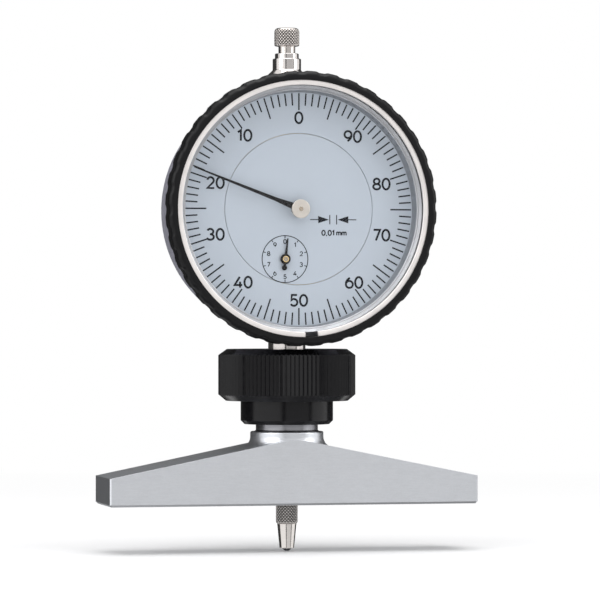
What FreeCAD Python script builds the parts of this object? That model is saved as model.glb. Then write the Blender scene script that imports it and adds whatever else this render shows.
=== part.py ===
import FreeCAD, Part
import math
import os
from FreeCAD import Vector

# Dial depth gauge: a dial indicator clamped by its stem in a steel measuring bridge.
# Millimetres. The origin is the middle of the bridge's flat measuring face, on the
# plunger's axis. +Z runs up the plunger, +X to the reader's right, and the dial faces -Y.

# Fits shared by all pieces
RUNNING = 0.05
SLIP = 0.10
GAP = 0.30

# Measuring bridge
BRIDGE_LENGTH = 80.0
BRIDGE_DEPTH = 18.0
BRIDGE_END_HEIGHT = 6.0
BRIDGE_SLOPE_RISE = 8.1
RIDGE_ROUND = 15.0
FOOT_CHAMFER = 0.45
END_CHAMFER = 0.30
NECK_RADIUS = 7.85
NECK_HEIGHT = 15.5
NECK_FILLET = 2.3
NECK_EDGE = 0.35

# Split collet and clamp nut
COLLET_SEAT_DEPTH = 3.4
COLLET_SEAT_RADIUS = 5.5
THREAD_RADIUS = 6.65
STUB_FLARE = 0.30
STUB_HEIGHT = 1.55
COLLET_RISE = 14.4
COLLET_TAPER_LENGTH = 4.0
COLLET_TAPER_DROP = 1.4
COLLET_SLOT_COUNT = 4
COLLET_SLOT_WIDTH = 0.7
COLLET_SLOT_LENGTH = 11.5
NUT_COLLAR_RADIUS = 9.9
NUT_COLLAR_HEIGHT = 5.0
NUT_COLLAR_CHAMFER = 0.8
NUT_HEAD_RADIUS = 14.7
NUT_HEAD_HEIGHT = 11.05
NUT_TOP_CHAMFER = (1.8, 1.3)
NUT_FOOT_CHAMFER = (1.6, 1.35)
SERRATION_COUNT = 96
SERRATION_DEPTH = 0.34
NUT_TO_BEZEL = 0.65

# Bezel with forty finger lobes
BEZEL_OVERHANG = 3.0
LOBE_COUNT = 40
LOBE_DEPTH = 0.30
LOBE_CREST_SHARE = 0.46
LOBE_TROUGH_SHARE = 0.30
LOBE_ANGLE = 5.5
BEZEL_FRONT_Y = -16.75
BEZEL_REAR_Y = -12.5
BEZEL_SHOULDER = 1.15
BEZEL_REAR_CHAMFER = 0.25
LOBE_CLEARANCE = 0.02
BEZEL_MOUTH_STEP = 1.0
BEZEL_LEDGE_THICKNESS = 0.65
BEZEL_LEDGE_WIDTH = 1.5

# Crystal, its snap ring and the ring below it
CRYSTAL_THICKNESS = 1.0
SNAP_RING_WIDTH = 1.15
SNAP_RING_THICKNESS = 0.7
SNAP_RING_GROOVE = 0.12
SNAP_RING_OPENING = 2.8
SNAP_RING_OPENING_ANGLE = 3.6
SPACER_FLANGE = 0.40
SPACER_LIP_DROP = 0.60

# Dial
DIAL_FACE_Y = -11.3
DIAL_THICKNESS = 0.4
SCALE_RING_INSET = 0.7
DIAL_DISC_RADIUS = 15.95
DIAL_FOOT_RADIUS = 0.6
DIAL_FOOT_PLACE = 10.0

# Case
CASE_RADIUS = 26.0
CASE_BACK_Y = 6.5
CASE_WALL = 2.0
CASE_NECK_WALL = 0.6
CASE_RIM_GAP = 0.10
CASE_WEB_WIDTH = 1.7
CASE_WEB_THICKNESS = 1.0
COVER_THICKNESS = 1.5
COVER_EDGE = 0.7
COVER_SCREW_COUNT = 4
COVER_SCREW_INSET = 1.4
COVER_BOSS_RADIUS = 2.2
COVER_BOSS_LENGTH = 7.5
COVER_SCREW_HEAD_RADIUS = 1.6
COVER_SCREW_HEAD_HEIGHT = 0.9
COVER_SCREW_RADIUS = 0.8
COVER_SCREW_LENGTH = 5.0
DRIVER_SLOT = 0.4
BEZEL_SPRING_WIDTH = 0.4
BEZEL_SPRING_DEPTH = 0.30

# Stem and plunger guides
STEM_RADIUS = 4.0
STEM_WALL = 1.0
STEM_FOOT_Z = 15.0
STEM_CHAMFER = 0.4
STEM_FLANGE_WIDTH = 1.0
STEM_FLANGE_THICKNESS = 1.0
STEM_SPOT_DEPTH = 0.45
STEM_BUSH_LENGTH = 7.0
GUIDE_WALL = 0.5
GUIDE_FLANGE_RADIUS = 4.0
GUIDE_FLANGE_THICKNESS = 1.0
GUIDE_PROUD = 1.1
GUIDE_SPOT_DEPTH = 0.25
SLEEVE_SPOT_DEPTH = 0.4
SLEEVE_BASE_RADIUS = 4.25
SLEEVE_BASE_HEIGHT = 3.35
SLEEVE_CONE_HEIGHT = 1.15
SLEEVE_RADIUS = 3.05
SLEEVE_TUBE_HEIGHT = 2.45

# Plunger, knob and contact point. At rest the tip stands out by REST_REACH
PLUNGER_RADIUS = 2.0
REST_REACH = 10.19
TRAVEL = 10.5
CONTACT_LENGTH = 10.3
CONTACT_KNURL_RADIUS = 2.375
CONTACT_KNURL_LENGTH = 4.35
CONTACT_CHAMFER = 0.4
CONTACT_CONE_TOP_RADIUS = 2.05
CONTACT_CONE_TIP_RADIUS = 1.55
BALL_RADIUS = 1.15
BALL_PROUD = 0.6
CONTACT_STUD_RADIUS = 1.25
CONTACT_STUD_LENGTH = 5.0
KNOB_STUD_RADIUS = 1.0
KNOB_STUD_LENGTH = 4.0
KNOB_NECK_RADIUS = 1.8
KNOB_NECK_HEIGHT = 1.6
KNOB_RADIUS = 2.7
KNOB_HEIGHT = 3.9
KNOB_TOP_ROUND = 0.8
KNOB_FOOT_CHAMFER = 0.3
PLUNGER_TOP_BELOW_GUIDE = 0.3
GUIDE_PIN_RADIUS = 0.6
GUIDE_PIN_BELOW_DIAL = 1.0
GUIDE_PIN_BITE = 1.5
COLLAR_HEIGHT = 1.0
COLLAR_RADIUS = 3.2
COLLAR_ABOVE_DIAL = 1.45
RETURN_SPRING_RADIUS = 2.65
RETURN_SPRING_WIRE = 0.36
RETURN_SPRING_TURNS = 7

# Rack and wheel train. Teeth stand ADDENDUM outside the pitch line and reach DEDENDUM inside
RACK_PITCH = 0.625
RACK_PINION_TEETH = 16
WHEEL_TEETH = 100
CENTRE_PINION_TEETH = 10
MODULE = 0.2
ADDENDUM = 0.18
DEDENDUM = 0.24
WHEEL_TOOTH_HALF = 0.11
PINION_TIP_HALF = 0.03
PINION_ROOT_HALF = 0.19
COUNTER_X = -3.0
HAIRSPRING_ANGLE = 53.8
WHEEL_THICKNESS = 0.5
RACK_PINION_WIDTH = 2.2

# Movement plates, their pillars and screws
PLATE_THICKNESS = 1.0
PLATE_PAD_INSET = 0.95
PLATE_PAD_HEIGHT = 0.7
PLATE_SCREW_COUNT = 3
PLATE_SCREW_HEAD = 0.6
PLATE_SCREW_RADIUS = 0.4
PLATE_SCREW_LENGTH = 1.6
BRIDGE_PLATE_THICKNESS = 0.8
BRIDGE_PLATE_HALF_WIDTH = 1.9
PLUNGER_TO_CENTRE_BRIDGE = 1.4
PLUNGER_TO_REAR_BRIDGE = 1.6
PILLAR_RADIUS = 1.0
PILLAR_SPIGOT_RADIUS = 0.6
PILLAR_SPIGOT_LENGTH = 0.7
SHORT_PILLARS = [(-8.5, 3.5), (8.5, -4.5)]
PILLAR_TO_WHEEL = 0.35
TOP_PILLAR = (-8.0, 13.0)
SCREW_HEAD_RADIUS = 1.1
SCREW_HEAD_HEIGHT = 0.6
SCREW_RADIUS = 0.5
SCREW_LENGTH = 2.0

# Arbors, hands and hairspring
ARBOR_RADIUS = 0.6
COUNTER_ARBOR_RADIUS = 0.5
PIVOT_RADIUS = 0.35
PIVOT_LENGTH = 0.7
WHEEL_HUB_RADIUS = 1.2
WHEEL_HUB_HEIGHT = 0.6
HAND_ANGLE = 69.1
HAND_TIP_GAP = 0.3
HAND_ROOT_HALF = 0.8
HAND_NECK_SHARE = 0.23
HAND_NECK_HALF = 0.4
HAND_TIP_HALF = 0.13
HAND_THICKNESS = 0.2
HAND_BOSS_RADIUS = 1.6
HAND_TO_COUNTER_HAND = 0.3
HUB_RADIUS = 2.0
HUB_HEIGHT = 0.75
HUB_PIN_RADIUS = 0.45
COUNTER_HAND_ANGLE = -6.84
COUNTER_HAND_LENGTH = 4.4
COUNTER_HAND_TAIL = 2.4
COUNTER_HAND_TAIL_DISC = 0.55
COUNTER_HAND_HUB_RADIUS = 1.1
COUNTER_BUSH_RADIUS = 0.65
COUNTER_BUSH_HEIGHT = 0.4
COUNTER_HAND_LIFT = 0.35
HAIRSPRING_TURNS = 4
HAIRSPRING_START = 0.8
HAIRSPRING_PITCH = 0.9
HAIRSPRING_STRIP = 0.1
HAIRSPRING_HEIGHT = 0.4
HAIRSPRING_STUD = 0.5

# Rings that nest round the case
BEZEL_RADIUS = CASE_RADIUS + BEZEL_OVERHANG
BEZEL_MOUTH_RADIUS = CASE_RADIUS + BEZEL_MOUTH_STEP
BEZEL_BORE = CASE_RADIUS + RUNNING
SNAP_RING_RADIUS = BEZEL_MOUTH_RADIUS + SNAP_RING_GROOVE
CRYSTAL_RADIUS = BEZEL_MOUTH_RADIUS - SLIP
CASE_INNER_RADIUS = CASE_RADIUS - CASE_WALL
CASE_NECK_BORE = CASE_RADIUS - CASE_NECK_WALL
SPACER_RADIUS = CASE_NECK_BORE - 1.5 * SLIP
SCALE_RING_RADIUS = CASE_NECK_BORE - SCALE_RING_INSET
SCALE_RING_BORE = DIAL_DISC_RADIUS + SLIP
PLATE_RADIUS = CASE_INNER_RADIUS - SLIP
PLATE_PAD_RADIUS = DIAL_DISC_RADIUS - PLATE_PAD_INSET
COVER_SCREW_CIRCLE = CASE_INNER_RADIUS - COVER_SCREW_INSET
HAND_LENGTH = SCALE_RING_RADIUS - HAND_TIP_GAP

# Heights along the plunger
BRIDGE_RIDGE_HEIGHT = BRIDGE_END_HEIGHT + BRIDGE_SLOPE_RISE
COLLET_SEAT_Z = NECK_HEIGHT - COLLET_SEAT_DEPTH
NUT_FOOT_Z = NECK_HEIGHT + STUB_HEIGHT
NUT_HEAD_Z = NUT_FOOT_Z + NUT_COLLAR_HEIGHT
NUT_TOP_Z = NUT_HEAD_Z + NUT_HEAD_HEIGHT
COLLET_TOP_Z = NUT_FOOT_Z + COLLET_RISE
DIAL_Z = NUT_TOP_Z + NUT_TO_BEZEL + BEZEL_RADIUS
STEM_SEAT_Z = DIAL_Z - CASE_INNER_RADIUS - STEM_SPOT_DEPTH
STEM_TOP_Z = STEM_SEAT_Z + STEM_FLANGE_THICKNESS
SLEEVE_SEAT_Z = DIAL_Z + CASE_RADIUS - SLEEVE_SPOT_DEPTH
SLEEVE_CONE_Z = SLEEVE_SEAT_Z + SLEEVE_BASE_HEIGHT
SLEEVE_TUBE_Z = SLEEVE_CONE_Z + SLEEVE_CONE_HEIGHT
SLEEVE_TOP_Z = SLEEVE_TUBE_Z + SLEEVE_TUBE_HEIGHT
GUIDE_SEAT_Z = DIAL_Z + CASE_INNER_RADIUS + GUIDE_SPOT_DEPTH
GUIDE_FLANGE_Z = GUIDE_SEAT_Z - GUIDE_FLANGE_THICKNESS
GUIDE_TOP_Z = SLEEVE_TOP_Z + GUIDE_PROUD
PLUNGER_TOP_Z = GUIDE_TOP_Z - PLUNGER_TOP_BELOW_GUIDE
KNOB_Z = GUIDE_TOP_Z + KNOB_NECK_HEIGHT
PLUNGER_FOOT_Z = CONTACT_LENGTH - REST_REACH
COLLAR_Z = DIAL_Z + COLLAR_ABOVE_DIAL
COLLAR_TOP_Z = COLLAR_Z + COLLAR_HEIGHT

# Bores that follow from the plunger
GUIDE_BORE = PLUNGER_RADIUS + RUNNING
GUIDE_RADIUS = GUIDE_BORE + GUIDE_WALL
STEM_BORE = STEM_RADIUS - STEM_WALL
CONTACT_BORE = CONTACT_KNURL_RADIUS + 2 * GAP

# Depths, front to back
SNAP_RING_FRONT_Y = BEZEL_FRONT_Y + GAP
CRYSTAL_FRONT_Y = SNAP_RING_FRONT_Y + SNAP_RING_THICKNESS
SPACER_FRONT_Y = CRYSTAL_FRONT_Y + CRYSTAL_THICKNESS
BEZEL_LEDGE_Y = SPACER_FRONT_Y + SPACER_FLANGE
CASE_RIM_Y = BEZEL_LEDGE_Y + BEZEL_LEDGE_THICKNESS + CASE_RIM_GAP
DIAL_BACK_Y = DIAL_FACE_Y + DIAL_THICKNESS
PLATE_FRONT_Y = DIAL_BACK_Y + PLATE_PAD_HEIGHT
PLATE_BACK_Y = PLATE_FRONT_Y + PLATE_THICKNESS
CASE_STEP_Y = DIAL_BACK_Y + 0.5 * PLATE_PAD_HEIGHT
CASE_WEB_BACK_Y = PLATE_BACK_Y + CASE_WEB_THICKNESS
COVER_BACK_Y = CASE_BACK_Y + COVER_THICKNESS
CENTRE_BRIDGE_BACK_Y = -PLUNGER_RADIUS - PLUNGER_TO_CENTRE_BRIDGE
CENTRE_BRIDGE_Y = CENTRE_BRIDGE_BACK_Y - BRIDGE_PLATE_THICKNESS
REAR_BRIDGE_Y = PLUNGER_RADIUS + PLUNGER_TO_REAR_BRIDGE
REAR_BRIDGE_BACK_Y = REAR_BRIDGE_Y + BRIDGE_PLATE_THICKNESS
HAIRSPRING_Y = PLATE_BACK_Y + GAP
HAIR_WHEEL_Y = HAIRSPRING_Y + HAIRSPRING_HEIGHT + 1.5 * GAP
COUNTER_WHEEL_Y = HAIR_WHEEL_Y + WHEEL_THICKNESS + WHEEL_HUB_HEIGHT + GAP
COUNTER_HAND_Y = DIAL_FACE_Y - COUNTER_HAND_LIFT - HAND_THICKNESS
COUNTER_BUSH_Y = COUNTER_HAND_Y - COUNTER_BUSH_HEIGHT
HAND_Y = COUNTER_BUSH_Y - HAND_TO_COUNTER_HAND - HAND_THICKNESS
HUB_Y = HAND_Y - HUB_HEIGHT

# Wheel centres, seen from the front, from the dial's centre
RACK_PINION_PITCH_RADIUS = RACK_PITCH * RACK_PINION_TEETH / (2 * math.pi)
WHEEL_PITCH_RADIUS = MODULE * WHEEL_TEETH / 2
CENTRE_PINION_PITCH_RADIUS = MODULE * CENTRE_PINION_TEETH / 2
CENTRE_DISTANCE = WHEEL_PITCH_RADIUS + CENTRE_PINION_PITCH_RADIUS
COUNTER_DROP = math.sqrt(CENTRE_DISTANCE ** 2 - COUNTER_X ** 2)
COUNTER = (COUNTER_X, -COUNTER_DROP)
HAIR = (CENTRE_DISTANCE * math.cos(math.radians(HAIRSPRING_ANGLE)),
        CENTRE_DISTANCE * math.sin(math.radians(HAIRSPRING_ANGLE)))
CENTRE = (0.0, 0.0)
RACK_PITCH_X = COUNTER_X + RACK_PINION_PITCH_RADIUS
PILLAR_REACH = WHEEL_PITCH_RADIUS + ADDENDUM + PILLAR_RADIUS + PILLAR_TO_WHEEL
LONG_PILLARS = [(COUNTER_X - PILLAR_REACH, -COUNTER_DROP),
                (COUNTER_X + PILLAR_REACH, -COUNTER_DROP),
                TOP_PILLAR]

DIAL_AXIS = Vector(0, 1, 0)
UP = Vector(0, 0, 1)


# ---------------------------------------------------------------- shared forms

def rounded_corner(before, corner, after, radius):
    """The arc that rounds one corner: its two tangent points and its middle."""
    to_before = (before - corner).normalize()
    to_after = (after - corner).normalize()
    half = to_before.getAngle(to_after) / 2
    reach = radius / math.tan(half)
    middle = (to_before + to_after).normalize() * (radius / math.sin(half) - radius)
    return corner + to_before * reach, corner + middle, corner + to_after * reach


def closed_face(corners, place):
    """A face through (u, v) or (u, v, round) corners, laid in space by place(u, v)."""
    points = [place(c[0], c[1]) for c in corners]
    rounds = [c[2] if len(c) > 2 else 0 for c in corners]
    edges = []
    ends = []
    for i, point in enumerate(points):
        if rounds[i]:
            after = points[(i + 1) % len(points)]
            start, middle, end = rounded_corner(points[i - 1], point, after, rounds[i])
            edges.append(Part.Arc(start, middle, end).toShape())
            ends.append((start, end))
        else:
            ends.append((point, point))
    for i, (_, end) in enumerate(ends):
        start = ends[(i + 1) % len(ends)][0]
        if end.distanceToPoint(start) > 1e-7:
            edges.append(Part.LineSegment(end, start).toShape())
    return Part.Face(Part.Wire(Part.__sortEdges__(edges)))


def turned_up(corners):
    """A piece turned about the plunger's axis from (radius, z) corners."""
    face = closed_face(corners, lambda r, z: Vector(r, 0, z))
    return face.revolve(Vector(0, 0, 0), UP, 360)


def turned_deep(corners, at=CENTRE):
    """A piece turned about an axis along Y from (radius, y) corners."""
    x, z = at[0], DIAL_Z + at[1]
    face = closed_face(corners, lambda r, y: Vector(x + r, y, z))
    return face.revolve(Vector(x, 0, z), DIAL_AXIS, 360)


def plate_deep(corners, front, back, at=CENTRE):
    """A flat piece with an outline of (x, z) corners about the dial's centre."""
    x, z = at[0], DIAL_Z + at[1]
    face = closed_face(corners, lambda u, v: Vector(x + u, front, z + v))
    return face.extrude(Vector(0, back - front, 0))


def rod_up(radius, low, high):
    return Part.makeCylinder(radius, high - low, Vector(0, 0, low), UP)


def rod_deep(radius, front, back, at=CENTRE):
    return Part.makeCylinder(radius, back - front, Vector(at[0], front, DIAL_Z + at[1]), DIAL_AXIS)


def ring_deep(inner, outer, front, back, at=CENTRE):
    return rod_deep(outer, front, back, at).cut(rod_deep(inner, front, back, at))


def on_circle(radius, degrees):
    angle = math.radians(degrees)
    return radius * math.cos(angle), radius * math.sin(angle)


def fused(shapes):
    return shapes[0].multiFuse(shapes[1:]).removeSplitter() if len(shapes) > 1 else shapes[0]


def bar(start, end, half_width, front, back):
    """A flat link with round ends between two points about the dial's centre."""
    run = Vector(end[0] - start[0], 0, end[1] - start[1])
    side = run.cross(DIAL_AXIS).normalize() * half_width
    first = Vector(start[0], front, DIAL_Z + start[1])
    outline = [first + side, first + run + side, first + run - side, first - side, first + side]
    web = Part.Face(Part.makePolygon(outline)).extrude(Vector(0, back - front, 0))
    return fused([web, rod_deep(half_width, front, back, start), rod_deep(half_width, front, back, end)])


def toothed_corners(teeth, tip_radius, root_radius, tip_half, root_half, first_tooth):
    """Corners round a wheel; each tooth is tip_half and root_half thick at each side."""
    corners = []
    for tooth in range(teeth):
        middle = first_tooth + 2 * math.pi * tooth / teeth
        marks = [(root_radius, -root_half), (tip_radius, -tip_half),
                 (tip_radius, tip_half), (root_radius, root_half)]
        if tip_half == 0:
            del marks[2]
        for radius, half in marks:
            angle = middle + half / radius
            corners.append((radius * math.cos(angle), radius * math.sin(angle)))
    return corners


# ------------------------------------------------------- bridge, collet and nut

def bridge_block():
    """The bridge's plan and foot: a block with its edges broken."""
    block = Part.makeBox(BRIDGE_LENGTH, BRIDGE_DEPTH, 2 * NECK_HEIGHT,
                         Vector(-BRIDGE_LENGTH / 2, -BRIDGE_DEPTH / 2, 0))
    upright = [e for e in block.Edges if abs(e.Vertexes[0].Z - e.Vertexes[-1].Z) > NECK_HEIGHT]
    block = block.makeChamfer(END_CHAMFER, upright)
    foot = [e for e in block.Edges if max(v.Z for v in e.Vertexes) < 0.001]
    return block.makeChamfer(FOOT_CHAMFER, foot)


def bridge_neck():
    """The turned neck; its root sweeps out to the height of the slopes beside it."""
    slope = BRIDGE_SLOPE_RISE / (BRIDGE_LENGTH / 2)
    skirt = NECK_RADIUS + NECK_FILLET
    root_z = BRIDGE_RIDGE_HEIGHT - slope * skirt
    return turned_up([(0, 1), (skirt, 1), (skirt, root_z), (NECK_RADIUS, root_z, NECK_FILLET),
                      (NECK_RADIUS, NECK_HEIGHT, NECK_EDGE), (0, NECK_HEIGHT)])


def base_bridge():
    half = BRIDGE_LENGTH / 2
    outline = [(-half - 1, 0), (half + 1, 0), (half + 1, 1), (half, BRIDGE_END_HEIGHT),
               (0, BRIDGE_RIDGE_HEIGHT, RIDGE_ROUND), (-half, BRIDGE_END_HEIGHT), (-half - 1, 1)]
    face = closed_face(outline, lambda x, z: Vector(x, -BRIDGE_DEPTH, z))
    beam = face.extrude(Vector(0, 2 * BRIDGE_DEPTH, 0))
    body = beam.fuse(bridge_neck()).common(bridge_block())
    body = body.cut(rod_up(CONTACT_BORE, -1, COLLET_SEAT_Z))
    return body.cut(rod_up(COLLET_SEAT_RADIUS, COLLET_SEAT_Z, NECK_HEIGHT + 1))


def collet():
    bore = STEM_RADIUS + RUNNING
    taper_z = COLLET_TOP_Z - COLLET_TAPER_LENGTH
    body = turned_up([(bore, COLLET_SEAT_Z), (COLLET_SEAT_RADIUS, COLLET_SEAT_Z),
                      (COLLET_SEAT_RADIUS, NECK_HEIGHT), (THREAD_RADIUS + STUB_FLARE, NECK_HEIGHT),
                      (THREAD_RADIUS, NECK_HEIGHT + STUB_FLARE), (THREAD_RADIUS, taper_z),
                      (THREAD_RADIUS - COLLET_TAPER_DROP, COLLET_TOP_Z), (bore, COLLET_TOP_Z)])
    for number in range(COLLET_SLOT_COUNT):
        slot = Part.makeBox(2 * THREAD_RADIUS, COLLET_SLOT_WIDTH, COLLET_SLOT_LENGTH + 1,
                            Vector(0, -COLLET_SLOT_WIDTH / 2, COLLET_TOP_Z - COLLET_SLOT_LENGTH))
        slot.rotate(Vector(0, 0, 0), UP, 45 + 360 * number / COLLET_SLOT_COUNT)
        body = body.cut(slot)
    return body


def nut_envelope():
    """The nut before serration: collar, chamfered head and the collet's seat inside."""
    bore = THREAD_RADIUS + RUNNING
    seat_z = COLLET_TOP_Z - COLLET_TAPER_LENGTH
    throat = bore - COLLET_TAPER_DROP
    top_in, top_down = NUT_TOP_CHAMFER
    foot_in, foot_up = NUT_FOOT_CHAMFER
    return turned_up([(bore, NUT_FOOT_Z), (NUT_COLLAR_RADIUS - NUT_COLLAR_CHAMFER, NUT_FOOT_Z),
                      (NUT_COLLAR_RADIUS, NUT_FOOT_Z + NUT_COLLAR_CHAMFER), (NUT_COLLAR_RADIUS, NUT_HEAD_Z),
                      (NUT_HEAD_RADIUS - foot_in, NUT_HEAD_Z), (NUT_HEAD_RADIUS, NUT_HEAD_Z + foot_up),
                      (NUT_HEAD_RADIUS, NUT_TOP_Z - top_down), (NUT_HEAD_RADIUS - top_in, NUT_TOP_Z),
                      (STEM_RADIUS + GAP, NUT_TOP_Z), (STEM_RADIUS + GAP, COLLET_TOP_Z + RUNNING),
                      (throat, COLLET_TOP_Z + RUNNING), (bore, seat_z)])


def clamp_nut():
    pitch = 2 * math.pi * NUT_HEAD_RADIUS / SERRATION_COUNT
    corners = toothed_corners(SERRATION_COUNT, NUT_HEAD_RADIUS, NUT_HEAD_RADIUS - SERRATION_DEPTH,
                              0, 0.48 * pitch, 0)
    star = closed_face(corners, lambda x, y: Vector(x, y, NUT_HEAD_Z))
    star = star.extrude(Vector(0, 0, NUT_HEAD_HEIGHT))
    keep = star.fuse(rod_up(NUT_COLLAR_RADIUS + 1, NUT_FOOT_Z, NUT_HEAD_Z))
    return nut_envelope().common(keep)


# ------------------------------------------------------------------ bezel group

def lobed_prism():
    """The bezel's outline: shallow finger lobes round the rim."""
    pitch = 360 / LOBE_COUNT
    crest = pitch * LOBE_CREST_SHARE / 2
    trough = pitch * LOBE_TROUGH_SHARE / 2
    low = BEZEL_RADIUS - LOBE_DEPTH

    def rim(radius, degrees):
        x, z = on_circle(radius, degrees)
        return Vector(x, BEZEL_FRONT_Y, DIAL_Z + z)

    edges = []
    for lobe in range(LOBE_COUNT):
        middle = LOBE_ANGLE + lobe * pitch
        valley = middle + pitch / 2
        crest_end = rim(BEZEL_RADIUS, middle + crest)
        trough_start = rim(low, valley - trough)
        trough_end = rim(low, valley + trough)
        next_crest = rim(BEZEL_RADIUS, middle + pitch - crest)
        crest_start = rim(BEZEL_RADIUS, middle - crest)
        edges.append(Part.Arc(crest_start, rim(BEZEL_RADIUS, middle), crest_end).toShape())
        edges.append(Part.LineSegment(crest_end, trough_start).toShape())
        edges.append(Part.LineSegment(trough_start, trough_end).toShape())
        edges.append(Part.LineSegment(trough_end, next_crest).toShape())
    face = Part.Face(Part.Wire(edges))
    return face.extrude(Vector(0, BEZEL_REAR_Y - BEZEL_FRONT_Y, 0))


def bezel():
    ledge_bore = BEZEL_MOUTH_RADIUS - BEZEL_LEDGE_WIDTH
    ledge_back = BEZEL_LEDGE_Y + BEZEL_LEDGE_THICKNESS
    spring_front = bezel_spring_y()
    spring_back = spring_front + BEZEL_SPRING_WIDTH
    spring_radius = CASE_RADIUS + BEZEL_SPRING_DEPTH
    outer = BEZEL_RADIUS + LOBE_CLEARANCE
    envelope = turned_deep([
        (BEZEL_MOUTH_RADIUS, BEZEL_FRONT_Y), (outer, BEZEL_FRONT_Y, BEZEL_SHOULDER),
        (outer, BEZEL_REAR_Y - BEZEL_REAR_CHAMFER), (outer - BEZEL_REAR_CHAMFER, BEZEL_REAR_Y),
        (BEZEL_BORE, BEZEL_REAR_Y), (BEZEL_BORE, spring_back), (spring_radius, spring_back),
        (spring_radius, spring_front), (BEZEL_BORE, spring_front),
        (BEZEL_BORE, ledge_back), (ledge_bore, ledge_back), (ledge_bore, BEZEL_LEDGE_Y),
        (BEZEL_MOUTH_RADIUS, BEZEL_LEDGE_Y), (BEZEL_MOUTH_RADIUS, CRYSTAL_FRONT_Y),
        (SNAP_RING_RADIUS, CRYSTAL_FRONT_Y), (SNAP_RING_RADIUS, SNAP_RING_FRONT_Y),
        (BEZEL_MOUTH_RADIUS, SNAP_RING_FRONT_Y)])
    return lobed_prism().common(envelope)


def bezel_spring_y():
    """Front of the friction wire, in the middle of the bezel's grip on the case."""
    return (CASE_RIM_Y + BEZEL_REAR_Y - BEZEL_SPRING_WIDTH) / 2


def open_ring(inner, outer, front, back, opening, degrees):
    """A split ring whose opening of a given width lies at an angle from +X."""
    ring = ring_deep(inner, outer, front, back)
    cutter = Part.makeBox(2 * outer, back - front + 2, opening, Vector(0, front - 1, DIAL_Z - opening / 2))
    cutter.rotate(Vector(0, 0, DIAL_Z), DIAL_AXIS, -degrees)
    return ring.cut(cutter)


def bezel_spring():
    front = bezel_spring_y()
    return open_ring(CASE_RADIUS - BEZEL_SPRING_DEPTH + SLIP, CASE_RADIUS + BEZEL_SPRING_DEPTH, front,
                     front + BEZEL_SPRING_WIDTH, SNAP_RING_OPENING, 90)


def crystal():
    return rod_deep(CRYSTAL_RADIUS, CRYSTAL_FRONT_Y, SPACER_FRONT_Y)


def snap_ring():
    return open_ring(SNAP_RING_RADIUS - SNAP_RING_WIDTH, SNAP_RING_RADIUS, SNAP_RING_FRONT_Y,
                     CRYSTAL_FRONT_Y, SNAP_RING_OPENING, SNAP_RING_OPENING_ANGLE - 90)


def spacer_ring():
    """Flanged ring that carries the scale ring below the crystal."""
    lip_y = SPACER_FRONT_Y + SPACER_LIP_DROP
    return turned_deep([
        (SNAP_RING_RADIUS - SNAP_RING_WIDTH, SPACER_FRONT_Y), (CRYSTAL_RADIUS, SPACER_FRONT_Y),
        (CRYSTAL_RADIUS, BEZEL_LEDGE_Y), (SPACER_RADIUS, BEZEL_LEDGE_Y), (SPACER_RADIUS, DIAL_BACK_Y),
        (SCALE_RING_RADIUS, DIAL_BACK_Y), (SCALE_RING_RADIUS, DIAL_FACE_Y),
        (SCALE_RING_RADIUS + 0.3, lip_y)])


def scale_ring():
    return ring_deep(SCALE_RING_BORE, SCALE_RING_RADIUS, DIAL_FACE_Y, DIAL_BACK_Y)


# ------------------------------------------------------------------- case group

def cover_screw_places():
    step = 360 / COVER_SCREW_COUNT
    return [on_circle(COVER_SCREW_CIRCLE, step / 2 + step * number) for number in range(COVER_SCREW_COUNT)]


def case_shell():
    """The case turned: neck for the bezel, seat for the dial plate, open back."""
    web_radius = CASE_INNER_RADIUS - CASE_WEB_WIDTH
    spring_y = bezel_spring_y()
    groove_low = spring_y - RUNNING
    groove_high = spring_y + BEZEL_SPRING_WIDTH + RUNNING
    groove_radius = CASE_RADIUS - BEZEL_SPRING_DEPTH
    return turned_deep([
        (CASE_NECK_BORE, CASE_RIM_Y), (CASE_RADIUS, CASE_RIM_Y), (CASE_RADIUS, groove_low),
        (groove_radius, groove_low), (groove_radius, groove_high), (CASE_RADIUS, groove_high),
        (CASE_RADIUS, CASE_BACK_Y), (CASE_INNER_RADIUS, CASE_BACK_Y), (CASE_INNER_RADIUS, CASE_WEB_BACK_Y),
        (web_radius, CASE_WEB_BACK_Y), (web_radius, PLATE_BACK_Y), (CASE_INNER_RADIUS, PLATE_BACK_Y),
        (CASE_INNER_RADIUS, CASE_STEP_Y), (CASE_NECK_BORE, CASE_STEP_Y)])


def plate_screw_places():
    circle = CASE_INNER_RADIUS - CASE_WEB_WIDTH / 2
    return [on_circle(circle, 90 + 360 * number / PLATE_SCREW_COUNT) for number in range(PLATE_SCREW_COUNT)]


def case():
    body = case_shell()
    bosses = [rod_deep(COVER_BOSS_RADIUS, CASE_BACK_Y - COVER_BOSS_LENGTH, CASE_BACK_Y, place)
              for place in cover_screw_places()]
    body = fused([body] + bosses)
    cuts = [rod_up(STEM_RADIUS, DIAL_Z - CASE_RADIUS - 1, DIAL_Z - CASE_INNER_RADIUS + 1),
            rod_up(STEM_RADIUS + STEM_FLANGE_WIDTH, STEM_SEAT_Z, STEM_TOP_Z + 1),
            rod_up(GUIDE_RADIUS, GUIDE_SEAT_Z - 1, DIAL_Z + CASE_RADIUS + 1),
            rod_up(GUIDE_FLANGE_RADIUS, GUIDE_FLANGE_Z - 1, GUIDE_SEAT_Z),
            rod_up(SLEEVE_BASE_RADIUS, SLEEVE_SEAT_Z, DIAL_Z + CASE_RADIUS + 1)]
    for place in cover_screw_places():
        cuts.append(rod_deep(COVER_SCREW_RADIUS, CASE_BACK_Y - COVER_SCREW_LENGTH, CASE_BACK_Y + 1, place))
    for place in plate_screw_places():
        cuts.append(rod_deep(PLATE_SCREW_RADIUS, PLATE_BACK_Y - 1, CASE_WEB_BACK_Y + 1, place))
    return body.cut(Part.makeCompound(cuts))


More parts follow.
